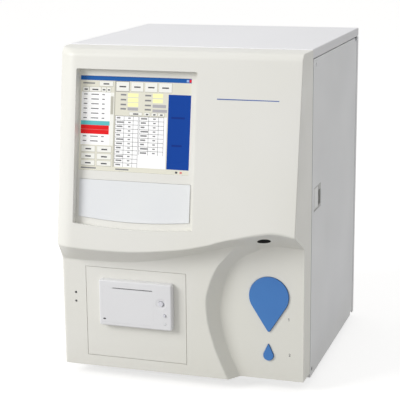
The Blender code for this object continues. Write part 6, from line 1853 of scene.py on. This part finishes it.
class ANALYZER_OT_plates(Operator):
    """Mould the drop-shaped push plates and print their numbers"""
    bl_idname = "analyzer.plates"
    bl_label = "Push plates"

    def execute(self, context):
        sizes = context.scene.analyzer_front
        for node, measures in (("start_plate", START), ("dilute_plate", DILUTE)):
            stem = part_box(node)[1].y - CASE_ORIGIN.y + PANEL_REACH
            hand_over(make_drop(f"{node}_drop", sizes, *measures, stem), "blue_plates", node)
        for mark in number_marks(sizes):
            add_on(mark, "dark_ink", "front_bezel")
        refine("board_green", LEAST_ROUND, "switch_board")
        return {"FINISHED"}


class ANALYZER_OT_lamps(Operator):
    """Dome the two status lamps"""
    bl_idname = "analyzer.lamps"
    bl_label = "Status lamps"

    def execute(self, context):
        hand_over(make_status(), "lens_dark", "status_lamps")
        return {"FINISHED"}


class ANALYZER_OT_shell(Operator):
    """Fold the cover, the side, the back and the sheets inside"""
    bl_idname = "analyzer.shell"
    bl_label = "Shell"

    def execute(self, context):
        sizes = context.scene.analyzer_shell
        hand_over(make_top(sizes), "white_powder_coat", "top_cover")
        refine("grey_powder_coat", sizes.sheet_round, "left_side_panel", "rear_panel")
        refine("zinc_sheet", sizes.sheet_round, "base_chassis", "front_frame", "centre_divider")
        add_on(make_rear_screws(sizes), "bright_steel", "rear_panel")
        return {"FINISHED"}


class ANALYZER_OT_feet(Operator):
    """Turn the four rubber feet"""
    bl_idname = "analyzer.feet"
    bl_label = "Feet"

    def execute(self, context):
        for node in ("foot_front_left", "foot_front_right", "foot_rear_left", "foot_rear_right"):
            hand_over(make_foot(node), "rubber", node)
        return {"FINISHED"}


class ANALYZER_OT_door(Operator):
    """Fold the service door and fit its pivots, its screws and its latch"""
    bl_idname = "analyzer.door"
    bl_label = "Service door"

    def execute(self, context):
        sizes = context.scene.analyzer_shell
        refine("bright_steel", sizes.sheet_round, "door_pivot_lower", "door_pivot_upper")
        hand_over(make_door(sizes), "grey_powder_coat", "service_door", placed=True)
        add_on(make_lower_screw(sizes), "blackened_steel", "door_screw")
        cup, paddle = make_latch(sizes)
        # The cup's darker finish paints the shade round the paddle and in the finger slot.
        hand_over(cup, "latch_shade", "latch_cup")
        hand_over(paddle, "latch_plastic", "latch_paddle")
        hand_over(make_upper_screw(), "bright_steel", "door_screw")
        return {"FINISHED"}


class ANALYZER_OT_fan(Operator):
    """Mould the fan and bend its wire guard"""
    bl_idname = "analyzer.fan"
    bl_label = "Fan"

    def execute(self, context):
        sizes = context.scene.analyzer_shell
        refine("black_plastic", sizes.sheet_round, "fan_frame")
        hand_over(make_rotor(sizes), "black_plastic", "fan_rotor")
        hand_over(make_guard(sizes), "bright_steel", "fan_guard")
        return {"FINISHED"}


class ANALYZER_OT_sockets(Operator):
    """Mould the power inlet, its switch and the reagent ports"""
    bl_idname = "analyzer.sockets"
    bl_label = "Sockets and ports"

    def execute(self, context):
        refine("black_plastic", context.scene.analyzer_shell.sheet_round, "power_inlet")
        refine("motor_black", FINE_ROUND, "rocker_switch")
        add_on(make_contacts(), "bright_steel", "power_inlet")
        hand_over(make_ports(), "white_nylon", "reagent_ports")
        return {"FINISHED"}


class ANALYZER_OT_sampler(Operator):
    """Build the probe's frame, drive, carriage and wash bush"""
    bl_idname = "analyzer.sampler"
    bl_label = "Sampling unit"

    def execute(self, context):
        sizes = context.scene.analyzer_shell
        refine("zinc_sheet", sizes.sheet_round, "probe_frame")
        refine("motor_black", sizes.sheet_round, "probe_motor")
        refine("white_nylon", sizes.sheet_round, "probe_carriage")
        for node in ("guide_rod_left", "guide_rod_right"):
            hand_over(make_rod(node), "bright_steel", node)
        hand_over(make_thread(sizes), "bright_steel", "lead_screw")
        hand_over(make_needle(), "bright_steel", "sample_probe")
        # The wash bush's near-black finish paints the shade seen up the probe hole.
        hand_over(make_bush(), "deep_black", "wash_bush")
        return {"FINISHED"}


class ANALYZER_OT_fluids(Operator):
    """Build the baths, the syringe, the valves, the waste chamber and their tubes"""
    bl_idname = "analyzer.fluids"
    bl_label = "Fluid system"

    def execute(self, context):
        sizes = context.scene.analyzer_shell
        refine("zinc_sheet", sizes.sheet_round, "bath_shelf", "syringe_frame")
        refine("white_nylon", sizes.sheet_round, "syringe_plunger")
        for node in ("counting_bath_rear", "counting_bath_front"):
            hand_over(make_bath(node), "clear_plastic", node)
        hand_over(make_barrel(), "clear_plastic", "syringe_barrel")
        hand_over(make_valves(), "motor_black", "valve_bank")
        hand_over(make_bottle(), "milky_plastic", "waste_chamber")
        for piece, finish, node in make_tubes():
            hand_over(piece, finish, node)
        return {"FINISHED"}


class ANALYZER_OT_electronics(Operator):
    """Build the main board with its chips, the power supply and the pump"""
    bl_idname = "analyzer.electronics"
    bl_label = "Electronics"

    def execute(self, context):
        for piece, finish in zip(make_links(), ("black_plastic", "bright_steel")):
            add_on(piece, finish, "main_board")
        board, chips = make_board_parts()
        hand_over(board, "board_green", "main_board", placed=True)
        add_on(chips, "black_plastic", "main_board")
        refine("zinc_sheet", FINE_ROUND, "power_supply")
        refine("motor_black", PUMP_ROUND, "pump")
        return {"FINISHED"}


def light_path_seen(tree):
    """One where the camera, a gloss or a clear piece looks at it."""
    path = add_node(tree, "LightPath")
    first = add_node(tree, "Math", operation="ADD")
    second = add_node(tree, "Math", operation="ADD", use_clamp=True)
    connect(tree, (path, "Is Camera Ray", first, 0), (path, "Is Glossy Ray", first, 1),
            (first, "Value", second, 0), (path, "Is Transmission Ray", second, 1))
    return second


def make_floor(settings):
    """A pale floor with soft shadows, which looks brighter than the light that it gives back."""
    take()
    bpy.ops.mesh.primitive_plane_add(size=FLOOR_SIZE)
    floor = added("studio_floor")
    open_mesh(floor)
    bpy.ops.mesh.subdivide(number_cuts=3)
    object_mode()
    pale = bpy.data.materials.new("studio_floor")
    pale.use_nodes = True
    tree = pale.node_tree
    shader = tree.nodes["Principled BSDF"]
    tone = (settings.floor * share for share in FLOOR_TINT)
    for label, value in (("Base Color", (*tone, 1)), ("Roughness", 0.9), ("Specular IOR Level", 0.1)):
        shader.inputs[label].default_value = value
    glow = add_node(tree, "Emission", {"Strength": FLOOR_GLOW})
    dark = add_node(tree, "BsdfTransparent", {"Color": (0, 0, 0, 1)})
    pick = add_node(tree, "MixShader")
    both = add_node(tree, "AddShader")
    connect(tree, (light_path_seen(tree), "Value", pick, "Fac"), (dark, "BSDF", pick, 1),
            (glow, "Emission", pick, 2), (pick, "Shader", both, 0), (shader, "BSDF", both, 1),
            (both, "Shader", tree.nodes["Material Output"], "Surface"))
    floor.data.materials.append(pale)


def make_sky(settings):
    """Even light from all round, which looks white."""
    world = bpy.data.worlds.new("studio")
    bpy.context.scene.world = world
    world.use_nodes = True
    tree = world.node_tree
    sky = tree.nodes["Background"]
    sky.inputs["Color"].default_value = (*WHITE, 1)
    sky.inputs["Strength"].default_value = settings.sky
    white = add_node(tree, "Background", {"Color": (*WHITE, 1), "Strength": 1.0})
    pick = add_node(tree, "MixShader")
    connect(tree, (light_path_seen(tree), "Value", pick, "Fac"), (sky, "Background", pick, 1),
            (white, "Background", pick, 2), (pick, "Shader", tree.nodes["World Output"], "Surface"))


def make_lamps(settings):
    for name, place, power in (("key_lamp", KEY_PLACE, settings.key), ("top_lamp", TOP_PLACE, settings.top)):
        bpy.ops.object.light_add(type="AREA", location=place)
        lamp = bpy.context.active_object
        lamp.name = name
        lamp.data.size = LAMP_SIZE
        lamp.data.energy = power
        lamp.rotation_euler = (Vector(LAMP_AIM) - Vector(place)).to_track_quat("-Z", "Y").to_euler()


def make_camera(settings):
    """The photograph's camera, turned to the left, down and a little to one side."""
    bpy.ops.object.camera_add()
    camera = bpy.context.active_object
    camera.name = "photo_camera"
    camera.data.sensor_width = 36
    camera.data.lens = settings.lens
    yaw, pitch, roll = (math.radians(angle) for angle in (CAMERA_YAW, CAMERA_PITCH, CAMERA_ROLL))
    forward = Vector((-math.sin(yaw) * math.cos(pitch), math.cos(yaw) * math.cos(pitch), -math.sin(pitch)))
    across = Vector((math.cos(yaw), math.sin(yaw), 0))
    down = forward.cross(across)
    level_x = across * math.cos(roll) + down * math.sin(roll)
    level_y = down * math.cos(roll) - across * math.sin(roll)
    turn = Matrix((level_x, -level_y, -forward)).transposed().to_4x4()
    camera.matrix_world = Matrix.Translation(CAMERA_PLACE) @ turn
    camera.data.clip_start = 0.05
    camera.data.clip_end = 60
    bpy.context.scene.camera = camera


class ANALYZER_OT_stage(Operator):
    """Set the floor, the soft light and the camera"""
    bl_idname = "analyzer.stage"
    bl_label = "Stage"

    def execute(self, context):
        settings = context.scene.analyzer_stage
        make_floor(settings)
        make_sky(settings)
        make_lamps(settings)
        make_camera(settings)
        context.scene.view_settings.view_transform = "Standard"
        return {"FINISHED"}


class ANALYZER_PT_panel(Panel):
    bl_label = "Hematology analyzer"
    bl_idname = "ANALYZER_PT_panel"
    bl_space_type = "VIEW_3D"
    bl_region_type = "UI"
    bl_category = "Analyzer"

    def draw(self, context):
        for step in STEPS:
            self.layout.operator(step.bl_idname)


STEPS = (
    ANALYZER_OT_finishes, ANALYZER_OT_bezel, ANALYZER_OT_screen, ANALYZER_OT_stripe, ANALYZER_OT_printer,
    ANALYZER_OT_paper, ANALYZER_OT_plates, ANALYZER_OT_lamps, ANALYZER_OT_shell, ANALYZER_OT_feet,
    ANALYZER_OT_door, ANALYZER_OT_fan, ANALYZER_OT_sockets, ANALYZER_OT_sampler, ANALYZER_OT_fluids,
    ANALYZER_OT_electronics, ANALYZER_OT_stage,
)
SETTINGS = {
    "analyzer_bezel": BezelSizes, "analyzer_front": FrontSizes, "analyzer_shell": ShellSizes,
    "analyzer_colours": FinishColours, "analyzer_stage": StageSettings,
}


def register():
    for item in (*SETTINGS.values(), *STEPS, ANALYZER_PT_panel):
        bpy.utils.register_class(item)
    for name, kind in SETTINGS.items():
        setattr(bpy.types.Scene, name, PointerProperty(type=kind))


def unregister():
    for name in SETTINGS:
        delattr(bpy.types.Scene, name)
    for item in (ANALYZER_PT_panel, *reversed(STEPS), *reversed(SETTINGS.values())):
        bpy.utils.unregister_class(item)


def main():
    register()
    for step in STEPS:
        family, name = step.bl_idname.split(".")
        getattr(getattr(bpy.ops, family), name)()
    object_mode()


if __name__ == "__main__":
    main()
